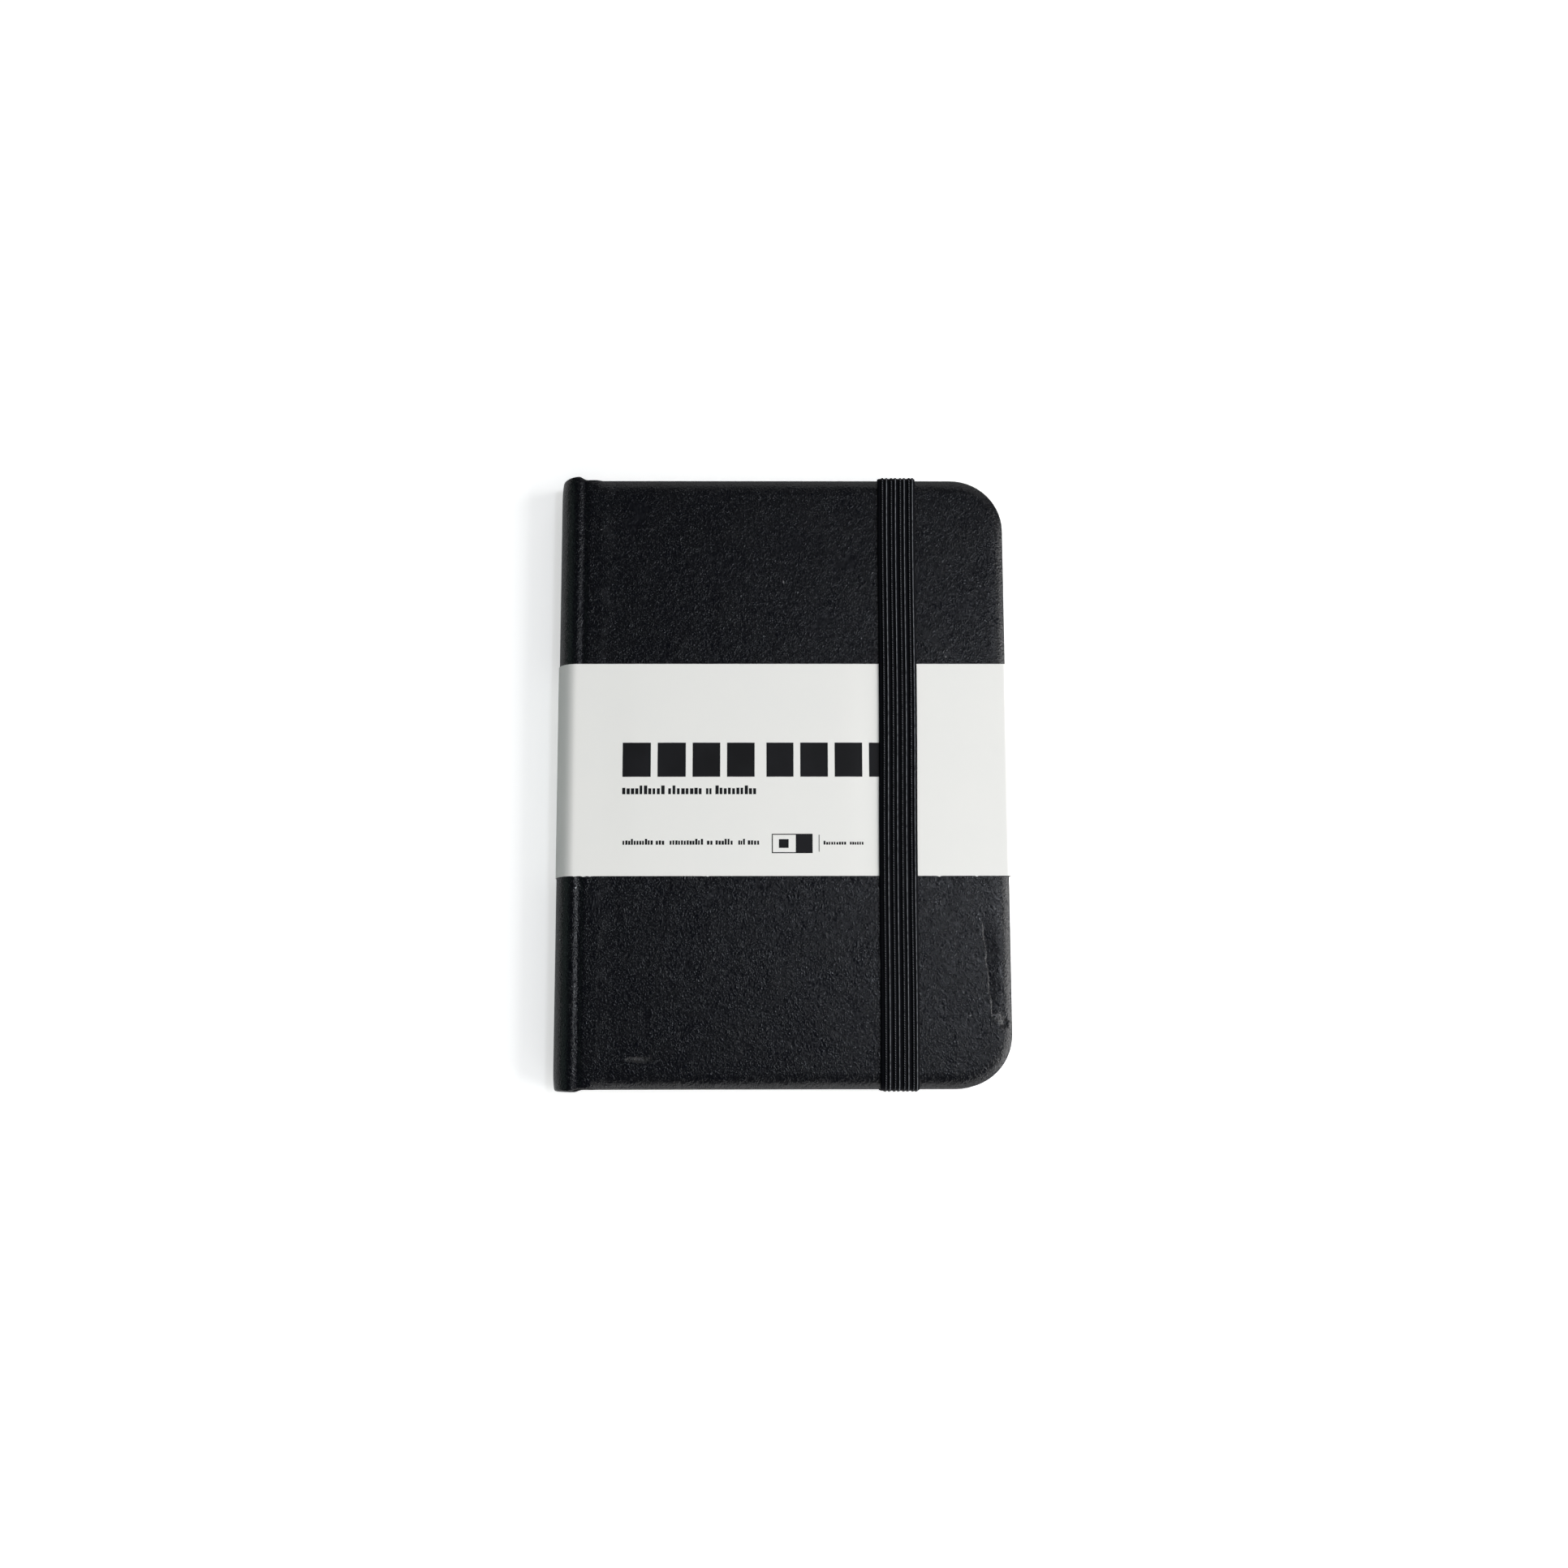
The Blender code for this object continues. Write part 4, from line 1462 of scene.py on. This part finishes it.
@dataclass
class BellyBand:
    """The paper band: a panel on each cover, folds over the joints and one over the spine."""

    layout: Layout
    palette: Palette
    thickness: float = 0.20 * MM
    fore_bend: float = 1.5 * MM
    flap_bend: float = 0.9 * MM
    flap_reach: float = 50.3 * MM
    seam_gap: float = 0.025 * MM
    step: float = 0.6 * MM
    crown: float = 0.16 * MM
    ink_rise: float = 0.012 * MM
    tab_depth: float = 0.36 * MM
    overcut: float = 0.40 * MM
    fore_slack: float = 0.35 * MM
    tabs: tuple[tuple[float, float], ...] = (
        (-70.0, 0.5), (-67.0, 0.8), (-64.6, 0.45), (-26.6, 0.35), (-25.2, 0.25), (53.0, 0.8), (65.6, 0.45),
    )
    title: tuple[tuple[float, tuple[float, ...]], ...] = (
        (-54.2, (9.6, 9.6, 9.4, 9.4)),
        (-5.3, (9.2, 9.4, 9.4, 9.2)),
    )
    title_low: float = -0.2
    title_high: float = 11.6
    title_gap: float = 2.3
    small_print: tuple[SmallPrint, ...] = (
        SmallPrint(-6.2, 3.0, 1.45, ((-54.2, -39.5), (-38.6, -26.8), (-25.8, -23.5), (-22.6, -8.4))),
        SmallPrint(-23.5, 2.0, 0.95, (
            (-53.9, -43.5), (-42.7, -39.6), (-38.0, -26.5), (-25.4, -23.1), (-22.5, -16.4), (-14.8, -12.4),
            (-11.6, -7.4),
        )),
        SmallPrint(-23.5, 1.3, 0.85, ((14.0, 21.8), (22.9, 27.7))),
    )
    divider: tuple[float, float, float, float] = (12.35, -25.9, 12.60, -20.1)
    badge: tuple[float, float, float, float] = (-3.5, -26.4, 10.3, -19.8)
    badge_middle: float = 4.6
    badge_line: float = 0.35
    square_inset: float = 2.4
    square_rows: Flat = (-24.6, -21.6)
    seed: int = 5

    def __post_init__(self) -> None:
        """Reads the band's place."""
        low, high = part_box("belly_band_front")
        self.low_y, self.high_y = low.y - self.overcut, high.y
        self.top = high.z
        self.under = low.z
        self.edge_x = high.x + self.fore_slack
        self.flap_end = self.edge_x - self.flap_reach
        self.seam_x = self.layout.seam_x
        self.spine_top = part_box("belly_band_spine")[1].z + self.seam_gap
        self.draw = random.Random(self.seed)

    def build(self) -> None:
        """Builds the whole band and its print."""
        for side in Side:
            self.make_panel(side)
            self.make_fold(side)
        self.make_spine()

    def lift(self, x: float, y: float) -> float:
        """How much the front panel bows up off the leather at a place.

        Args:
            x: Along the panel.
            y: Across it.

        Returns:
            The height.
        """
        clear_left = smooth((x - self.seam_x) / (14 * MM))
        clear_right = 1 - smooth((x - 22 * MM) / (9 * MM))
        across = (y - self.low_y) / (self.high_y - self.low_y)
        return self.crown * clear_left * clear_right * (0.35 + 0.65 * math.sin(math.pi * across))

    def low_edge(self, x: float, turned: float = 0.0) -> float:
        """Where the band's tail edge is, with the small tabs that the cut left on it.

        Args:
            x: Along the band.
            turned: 1 on the parts where the edge is clean.

        Returns:
            The edge's y.
        """
        left_over = 0.0
        for place, width in self.tabs:
            away = abs(x / MM - place) / width
            left_over = max(left_over, self.tab_depth * max(0.0, 1 - away))
        return self.low_y - left_over * (1 - turned)

    def band_loop(
        self, maker: MeshMaker, place: Vector, out: Vector, low_y: float, bow: Callable[[float], float],
    ) -> list[int]:
        """Adds the paper's section at one place along the band.

        Args:
            maker: The piece's mesh.
            place: Its outer face there, as (x, z).
            out: The way out of the surface, as (x, z).
            low_y: Where its tail edge is.
            bow: How far it stands out at each y.

        Returns:
            The loop's point numbers.
        """
        across = [low_y, low_y + 0.4 * MM, low_y + 1.2 * MM] + spread(self.low_y + 6 * MM, self.high_y, 8)
        points = []
        for y in across:
            at = place + out * bow(y)
            points.append((at.x, y, at.y))
        for y in reversed(across):
            at = place + out * (bow(y) - self.thickness)
            points.append((at.x, y, at.y))
        return maker.row(points)

    def panel_line(self) -> list[tuple[Vector, Vector]]:
        """The outer face of a cover's panel: over the cover, round its fore edge and in under it.

        Returns:
            Places and the ways out, as (x, z).
        """
        line = []
        right = self.edge_x - self.fore_bend
        count = round((right - self.seam_x) / self.step)
        for x in spread(self.seam_x, right, count):
            line.append((Vector((x, self.top)), Vector((0.0, 1.0))))
        for turn in spread(0.0, math.pi / 2, 10)[1:]:
            out = Vector((math.sin(turn), math.cos(turn)))
            line.append((Vector((right, self.top - self.fore_bend)) + out * self.fore_bend, out))
        bottom = Vector((self.edge_x - self.flap_bend, self.under + self.flap_bend))
        for turn in spread(math.pi / 2, math.pi, 8):
            out = Vector((math.sin(turn), math.cos(turn)))
            line.append((bottom + out * self.flap_bend, out))
        for x in spread(bottom.x, self.flap_end, 12)[1:]:
            line.append((Vector((x, self.under)), Vector((0.0, -1.0))))
        return line

    def make_panel(self, side: Side) -> None:
        """Makes the panel on one cover; the front one carries the print.

        Args:
            side: Which cover.
        """
        front = side is Side.FRONT
        maker = MeshMaker(self.layout.mirror(side))
        loops = []
        for place, out in self.panel_line():
            on_face = out.y > 0.99
            low_y = self.low_edge(place.x, 0.0 if front and on_face else 1.0)
            bow = (lambda y, x=place.x: self.lift(x, y)) if front and on_face else (lambda _y: 0.0)
            loops.append(self.band_loop(maker, place, out, low_y, bow))
        maker.tube(loops)
        if front:
            self.add_print(maker)
        piece = maker.build(f"belly_band_{side.value}_paper", [self.palette.band, self.palette.ink])
        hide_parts(f"belly_band_{side.value}")
        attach(piece, f"{side.value}_cover")
        LOG.info("%s band panel: %d faces", side.value, len(piece.data.polygons))

    def add_print(self, maker: MeshMaker) -> None:
        """Adds the printed blocks, each a thin film of ink that follows the paper.

        Args:
            maker: The front panel's mesh.
        """
        for block in self.print_blocks():
            steps = max(1, round((block.right - block.left) / (1.2 * MM)))
            loops = []
            for x in spread(block.left, block.right, steps):
                loop = []
                for y, rise in (
                    (block.low, -0.5 * self.ink_rise),
                    (block.high, -0.5 * self.ink_rise),
                    (block.high, self.ink_rise),
                    (block.low, self.ink_rise),
                ):
                    loop.append((x, y, self.top + self.lift(x, y) + rise))
                loops.append(maker.row(loop))
            maker.tube(loops, finish=1)

    def print_blocks(self) -> list[InkBlock]:
        """The plain blocks that stand for the band's printed lines.

        Returns:
            The blocks.
        """
        blocks = []
        for at, widths in self.title:
            for width in widths:
                blocks.append(InkBlock(at * MM, self.title_low * MM, (at + width) * MM, self.title_high * MM))
                at += width + self.title_gap
        for row in self.small_print:
            for left, right in row.stretches:
                blocks += self.dashes(row, left, right)
        left, low, right, high = self.badge
        middle, line = self.badge_middle, self.badge_line
        for edges in (
            self.divider,
            (left, low, middle, low + line),
            (left, high - line, middle, high),
            (left, low + line, left + line, high - line),
            (middle, low, right, high),
            (left + self.square_inset, self.square_rows[0], middle - self.square_inset, self.square_rows[1]),
        ):
            blocks.append(InkBlock(*(edge * MM for edge in edges)))
        return blocks

    def dashes(self, row: SmallPrint, left: float, right: float) -> list[InkBlock]:
        """Fills a stretch with small blocks of uneven width and height.

        Args:
            row: The row that it is in.
            left: Where the stretch starts, in millimetres.
            right: Where it ends.

        Returns:
            The blocks.
        """
        blocks = []
        count = max(1, round((right - left) / row.pitch))
        step = (right - left) / count
        for number in range(count):
            start = left + number * step
            width = step * self.draw.uniform(0.60, 0.80)
            top = row.low + row.tall * self.draw.choice((0.68, 0.68, 0.74, 1.0))
            blocks.append(InkBlock(start * MM, row.low * MM, (start + width) * MM, top * MM))
        return blocks

    def round_line(self, low_turn: float, high_turn: float, steps: int) -> list[tuple[Vector, Vector]]:
        """The band's outer face round the spine.

        Args:
            low_turn: Angle from the spine's middle at which it starts.
            high_turn: Angle at which it ends.
            steps: How many steps it has.

        Returns:
            Places and the ways out, as (x, z).
        """
        layout = self.layout
        bulge = layout.hinge.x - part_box("belly_band_spine")[0].x
        rise = self.top - layout.middle
        line = []
        for turn in spread(low_turn, high_turn, steps):
            place = Vector((layout.hinge.x - bulge * math.cos(turn), layout.middle + rise * math.sin(turn)))
            out = Vector((-rise * math.cos(turn), bulge * math.sin(turn))).normalized()
            line.append((place, out))
        return line

    def seam_turn(self) -> float:
        """The angle at which the fold meets the spine's panel."""
        return math.asin((self.spine_top - self.layout.middle) / (self.top - self.layout.middle))

    def make_fold(self, side: Side) -> None:
        """Makes the paper over one joint, which bridges the groove.

        Args:
            side: Which cover.
        """
        maker = MeshMaker(self.layout.mirror(side))
        line = self.round_line(self.seam_turn(), math.pi / 2, 12)
        for x in spread(self.layout.hinge.x, self.seam_x, 14)[1:]:
            line.append((Vector((x, self.top)), Vector((0.0, 1.0))))
        loops = []
        for place, out in line:
            low_y = self.low_edge(place.x, 0.0 if side is Side.FRONT else 1.0)
            loops.append(self.band_loop(maker, place, out, low_y, lambda _y: 0.0))
        maker.tube(loops)
        piece = maker.build(f"belly_band_{side.value}_fold_paper", [self.palette.band])
        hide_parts(f"belly_band_{side.value}_fold")
        bend_between(piece, self.layout, side, f"{side.value}_cover")
        LOG.info("%s band fold: %d faces", side.value, len(piece.data.polygons))

    def make_spine(self) -> None:
        """Makes the paper round the spine."""
        maker = MeshMaker()
        loops = []
        for place, out in self.round_line(-self.seam_turn(), self.seam_turn(), 24):
            loops.append(self.band_loop(maker, place, out, self.low_y, lambda _y: 0.0))
        maker.tube(loops)
        piece = maker.build("belly_band_spine_paper", [self.palette.band])
        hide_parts("belly_band_spine")
        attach(piece, "text_block")
        LOG.info("band spine: %d faces", len(piece.data.polygons))


# ---------------------------------------------------------------- strap


@dataclass
class Strap:
    """The woven elastic: a strand over the front, round both ends and in under the back endpaper."""

    layout: Layout
    palette: Palette
    body: float = 0.55 * MM
    rib_height: float = 0.34 * MM
    rib_half: float = 0.48 * MM
    ribs: tuple[float, ...] = (1.75, 3.15, 4.85, 6.25, 7.95, 9.30, 11.0, 12.15)
    selvedge: float = 0.30 * MM
    edge_round: float = 0.55 * MM
    column: float = 0.15 * MM
    row: float = 0.9 * MM
    flat_end: float = 0.30 * MM
    lean: float = 0.45 * MM
    sway: float = 0.10 * MM
    press: float = 0.28 * MM
    bend: float = 1.5 * MM
    foot_bend: float = 0.7 * MM
    foot_share: float = 0.6
    band_step: float = 5.0 * MM
    sway_length: float = 17.0 * MM

    def __post_init__(self) -> None:
        """Reads the strap's place."""
        low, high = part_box("strap_strand")
        self.left, self.right = low.x, high.x
        self.under = low.z - 0.02 * MM
        self.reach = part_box("front_skin")[1].y + 0.1 * MM
        self.width = self.right - self.left
        band_low, band_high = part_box("belly_band_front")
        self.band_low, self.band_high = band_low.y, band_high.y

    def half_line(self) -> list[tuple[float, float, float]]:
        """The strap's inner face from its glued end at the head to the start of the strand.

        Returns:
            Places as (y, z) with the thickness share there.
        """
        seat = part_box("back_skin")[1].z
        thin = self.flat_end / (self.body + self.rib_height)
        line = [
            (self.reach - 8.0 * MM, seat - 0.02 * MM, thin),
            (self.reach - 4.0 * MM, seat + 0.02 * MM, thin),
            (self.reach - 2.6 * MM, seat + 0.14 * MM, thin),
            (self.reach - 1.4 * MM, seat + 0.30 * MM, thin),
        ]
        small = self.foot_bend
        foot = Vector((self.reach - small, seat + 0.36 * MM + small))
        for turn in spread(0.0, math.pi / 2, 6):
            share = thin + (self.foot_share - thin) * turn / (math.pi / 2)
            line.append((foot.x + small * math.sin(turn), foot.y - small * math.cos(turn), share))
        shoulder = Vector((self.reach - self.bend, self.under - self.press - self.bend))
        for z in spread(foot.y, shoulder.y, 11)[1:]:
            share = self.foot_share + 0.4 * smooth((z - foot.y) / (4 * MM))
            line.append((self.reach, z, share))
        for turn in spread(0.0, math.pi / 2, 9)[1:]:
            line.append((shoulder.x + self.bend * math.cos(turn), shoulder.y + self.bend * math.sin(turn), 1.0))
        return line

    def strand_height(self, y: float) -> float:
        """The strand's inner face: on the leather, and a step up where it passes over the band.

        Args:
            y: Along the strand.

        Returns:
            Its height.
        """
        step = self.band_step
        over = smooth((y - self.band_low + step) / step) * smooth((self.band_high + step - y) / step)
        return self.under - self.press * (1 - over)

    def line(self) -> list[tuple[float, float, float]]:
        """The strap's whole inner face, from its head end to its tail end.

        Returns:
            Places as (y, z) with the thickness share there.
        """
        head = self.half_line()
        end = head[-1][0]
        count = round(2 * end / self.row)
        strand = [(y, self.strand_height(y), 1.0) for y in spread(end, -end, count)[1:-1]]
        tail = [(-y, z, share) for y, z, share in reversed(head)]
        return head + strand + tail

    def rib(self, across: float) -> tuple[float, float]:
        """Where a point is on the strap's ribs.

        Args:
            across: Distance from the strap's left edge.

        Returns:
            How much of a rib there is, from 0 to 1, and 1 if its thread is twisted.
        """
        best, twisted = 0.0, 0.0
        for number, place in enumerate(self.ribs):
            away = abs(across - place * MM) / self.rib_half
            if away < 1 and math.cos(away * math.pi / 2) > best:
                best, twisted = math.cos(away * math.pi / 2), float(number % 2 == 0)
        return best, twisted

    def thickness(self, across: float) -> float:
        """The strap's thickness.

        Args:
            across: Distance from the strap's left edge.

        Returns:
            The thickness there.
        """
        edge = min(across, self.width - across)
        full = self.body + self.rib_height * self.rib(across)[0] ** 0.8
        return self.selvedge + (full - self.selvedge) * smooth(edge / self.edge_round) ** 0.6

    def build(self) -> None:
        """Builds the strap as one piece."""
        maker = MeshMaker()
        line = self.line()
        columns = spread(0.0, self.width, round(self.width / self.column))
        heights = [self.thickness(across) for across in columns]
        ribs = [self.rib(across) for across in columns]
        blank = [0.0] * len(columns[::4])
        values: dict[str, list[float]] = {"rib": [], "twisted": []}
        loops = []
        for at, (y, z, share) in enumerate(line):
            before, after = line[max(at - 1, 0)], line[min(at + 1, len(line) - 1)]
            along = Vector((after[0] - before[0], after[1] - before[1])).normalized()
            out = Vector((along.y, -along.x))
            drift = self.lean * y / self.reach + self.sway * math.sin(y / self.sway_length)
            points = []
            for across, height in zip(columns, heights):
                place = Vector((y, z)) + out * (height * share)
                points.append((self.left + across + drift, place.x, place.y))
            for across in reversed(columns[::4]):
                points.append((self.left + across + drift, y, z))
            for index, name in enumerate(values):
                values[name] += [rib[index] for rib in ribs] + blank
            loops.append(maker.row(points))
        maker.tube(loops)
        piece = maker.build("strap_elastic", [self.palette.strap])
        for name, numbers in values.items():
            attribute = piece.data.attributes.new(name, "FLOAT", "POINT")
            attribute.data.foreach_set("value", numbers)
        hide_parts("strap_strand", "strap_leg_head", "strap_leg_tail", "strap_end_head", "strap_end_tail")
        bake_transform(piece)
        LOG.info("strap: %d faces", len(piece.data.polygons))


# ---------------------------------------------------------------- studio


@dataclass(frozen=True)
class Softbox:
    """A large soft light that looks at the notebook."""

    name: str
    place: Point
    size: Flat
    power: float
    colour: tuple[float, float, float] = (1.0, 1.0, 1.0)


@dataclass
class Studio:
    """A pale floor, soft lights from all sides and the camera."""

    floor_radius: float = 6.0
    floor_tones: tuple[Colour, Colour] = (tone(0.93, 0.93, 0.93), tone(0.95, 0.95, 0.95))
    glow_reach: Flat = (0.3, 2.5)
    glow: Flat = (0.50, 0.95)
    surround: Flat = (0.02, 0.98)
    lens: float = 48.4
    sensor: float = 36.0
    nearest: float = 0.01
    camera_place: Point = (-0.0055, -0.1251, 0.7206)
    camera_turn: Point = (9.85, -0.48, -0.12)
    lights: tuple[Softbox, ...] = (
        Softbox("Right light", (1.45, -0.20, 0.75), (1.5, 1.1), 31.0),
        Softbox("Left light", (-1.45, 0.05, 0.85), (1.5, 1.1), 2.0, (0.74, 1.0, 0.92)),
        Softbox("Tail light", (0.35, -1.45, 0.80), (1.8, 1.2), 14.0),
        Softbox("Head light", (0.15, 1.50, 0.75), (1.8, 1.2), 6.0),
        Softbox("Sheen light", (0.361, 0.127, 1.16), (0.14, 0.14), 1.9, (0.88, 0.92, 1.0)),
    )

    def build(self) -> None:
        """Builds the floor, the lights and the camera."""
        self.make_floor()
        self.make_world()
        for light in self.lights:
            self.make_light(light)
        self.make_camera()
        bpy.context.scene.view_settings.view_transform = "Standard"

    def make_floor(self) -> None:
        """Makes a plain white floor under the notebook, with a glow that only the camera sees."""
        maker = MeshMaker()
        ring = maker.row(
            (self.floor_radius * math.cos(turn), self.floor_radius * math.sin(turn), 0.0)
            for turn in spread(0.0, 2 * math.pi, 96)[:-1]
        )
        maker.face(ring)
        material = bpy.data.materials.new("Floor")
        material.use_nodes = True
        nodes = Nodes(material.node_tree)
        shader = material.node_tree.nodes["Principled BSDF"]
        place = nodes.add("ShaderNodeTexCoord").outputs["Object"]
        nodes.feed(shader.inputs["Base Color"], nodes.mix(nodes.noise(place, 3.0), *self.floor_tones))
        shader.inputs["Roughness"].default_value = 0.9
        shader.inputs["Specular IOR Level"].default_value = 0.1
        shader.inputs["Emission Color"].default_value = tone(1.0, 1.0, 1.0)
        away = nodes.length(place)
        seen = nodes.add("ShaderNodeLightPath").outputs["Is Camera Ray"]
        glow = nodes.times(seen, nodes.ramp(away, *self.glow_reach, *self.glow))
        nodes.feed(shader.inputs["Emission Strength"], glow)
        floor = maker.build("floor", [material])

    def make_world(self) -> None:
        """Makes a dim surround that looks pale where the camera sees it."""
        world = bpy.data.worlds.new("Studio")
        world.use_nodes = True
        nodes = Nodes(world.node_tree)
        seen = nodes.add("ShaderNodeLightPath").outputs["Is Camera Ray"]
        background = world.node_tree.nodes["Background"]
        background.inputs["Color"].default_value = tone(1.0, 1.0, 1.0)
        nodes.feed(background.inputs["Strength"], nodes.ramp(seen, 0.0, 1.0, *self.surround))
        bpy.context.scene.world = world

    def make_light(self, light: Softbox) -> None:
        """Makes one soft light.

        Args:
            light: Its place, size, power and colour.
        """
        lamp = bpy.data.lights.new(light.name, "AREA")
        lamp.shape = "RECTANGLE"
        lamp.size, lamp.size_y = light.size
        lamp.energy = light.power
        lamp.color = light.colour
        holder = bpy.data.objects.new(light.name, lamp)
        holder.location = light.place
        holder.rotation_euler = (-Vector(light.place)).to_track_quat("-Z", "Y").to_euler()
        holder.visible_camera = False
        bpy.context.scene.collection.objects.link(holder)

    def make_camera(self) -> None:
        """Makes the camera, which looks down on the front cover from a little towards the tail."""
        lens = bpy.data.cameras.new("Camera")
        lens.lens = self.lens
        lens.sensor_width = self.sensor
        lens.clip_start = self.nearest
        camera = bpy.data.objects.new("Camera", lens)
        camera.location = self.camera_place
        camera.rotation_euler = tuple(math.radians(turn) for turn in self.camera_turn)
        bpy.context.scene.collection.objects.link(camera)
        bpy.context.scene.camera = camera


def main() -> None:
    """Builds the studio and dresses the notebook."""
    logging.basicConfig(level=logging.INFO, format="%(message)s")
    Studio().build()
    layout = Layout()
    palette = Palette(layout)
    for part in (
        Case(layout, palette),
        TextBlock(layout, palette),
        BellyBand(layout, palette),
        Strap(layout, palette),
    ):
        part.build()


if __name__ == "__main__":
    main()
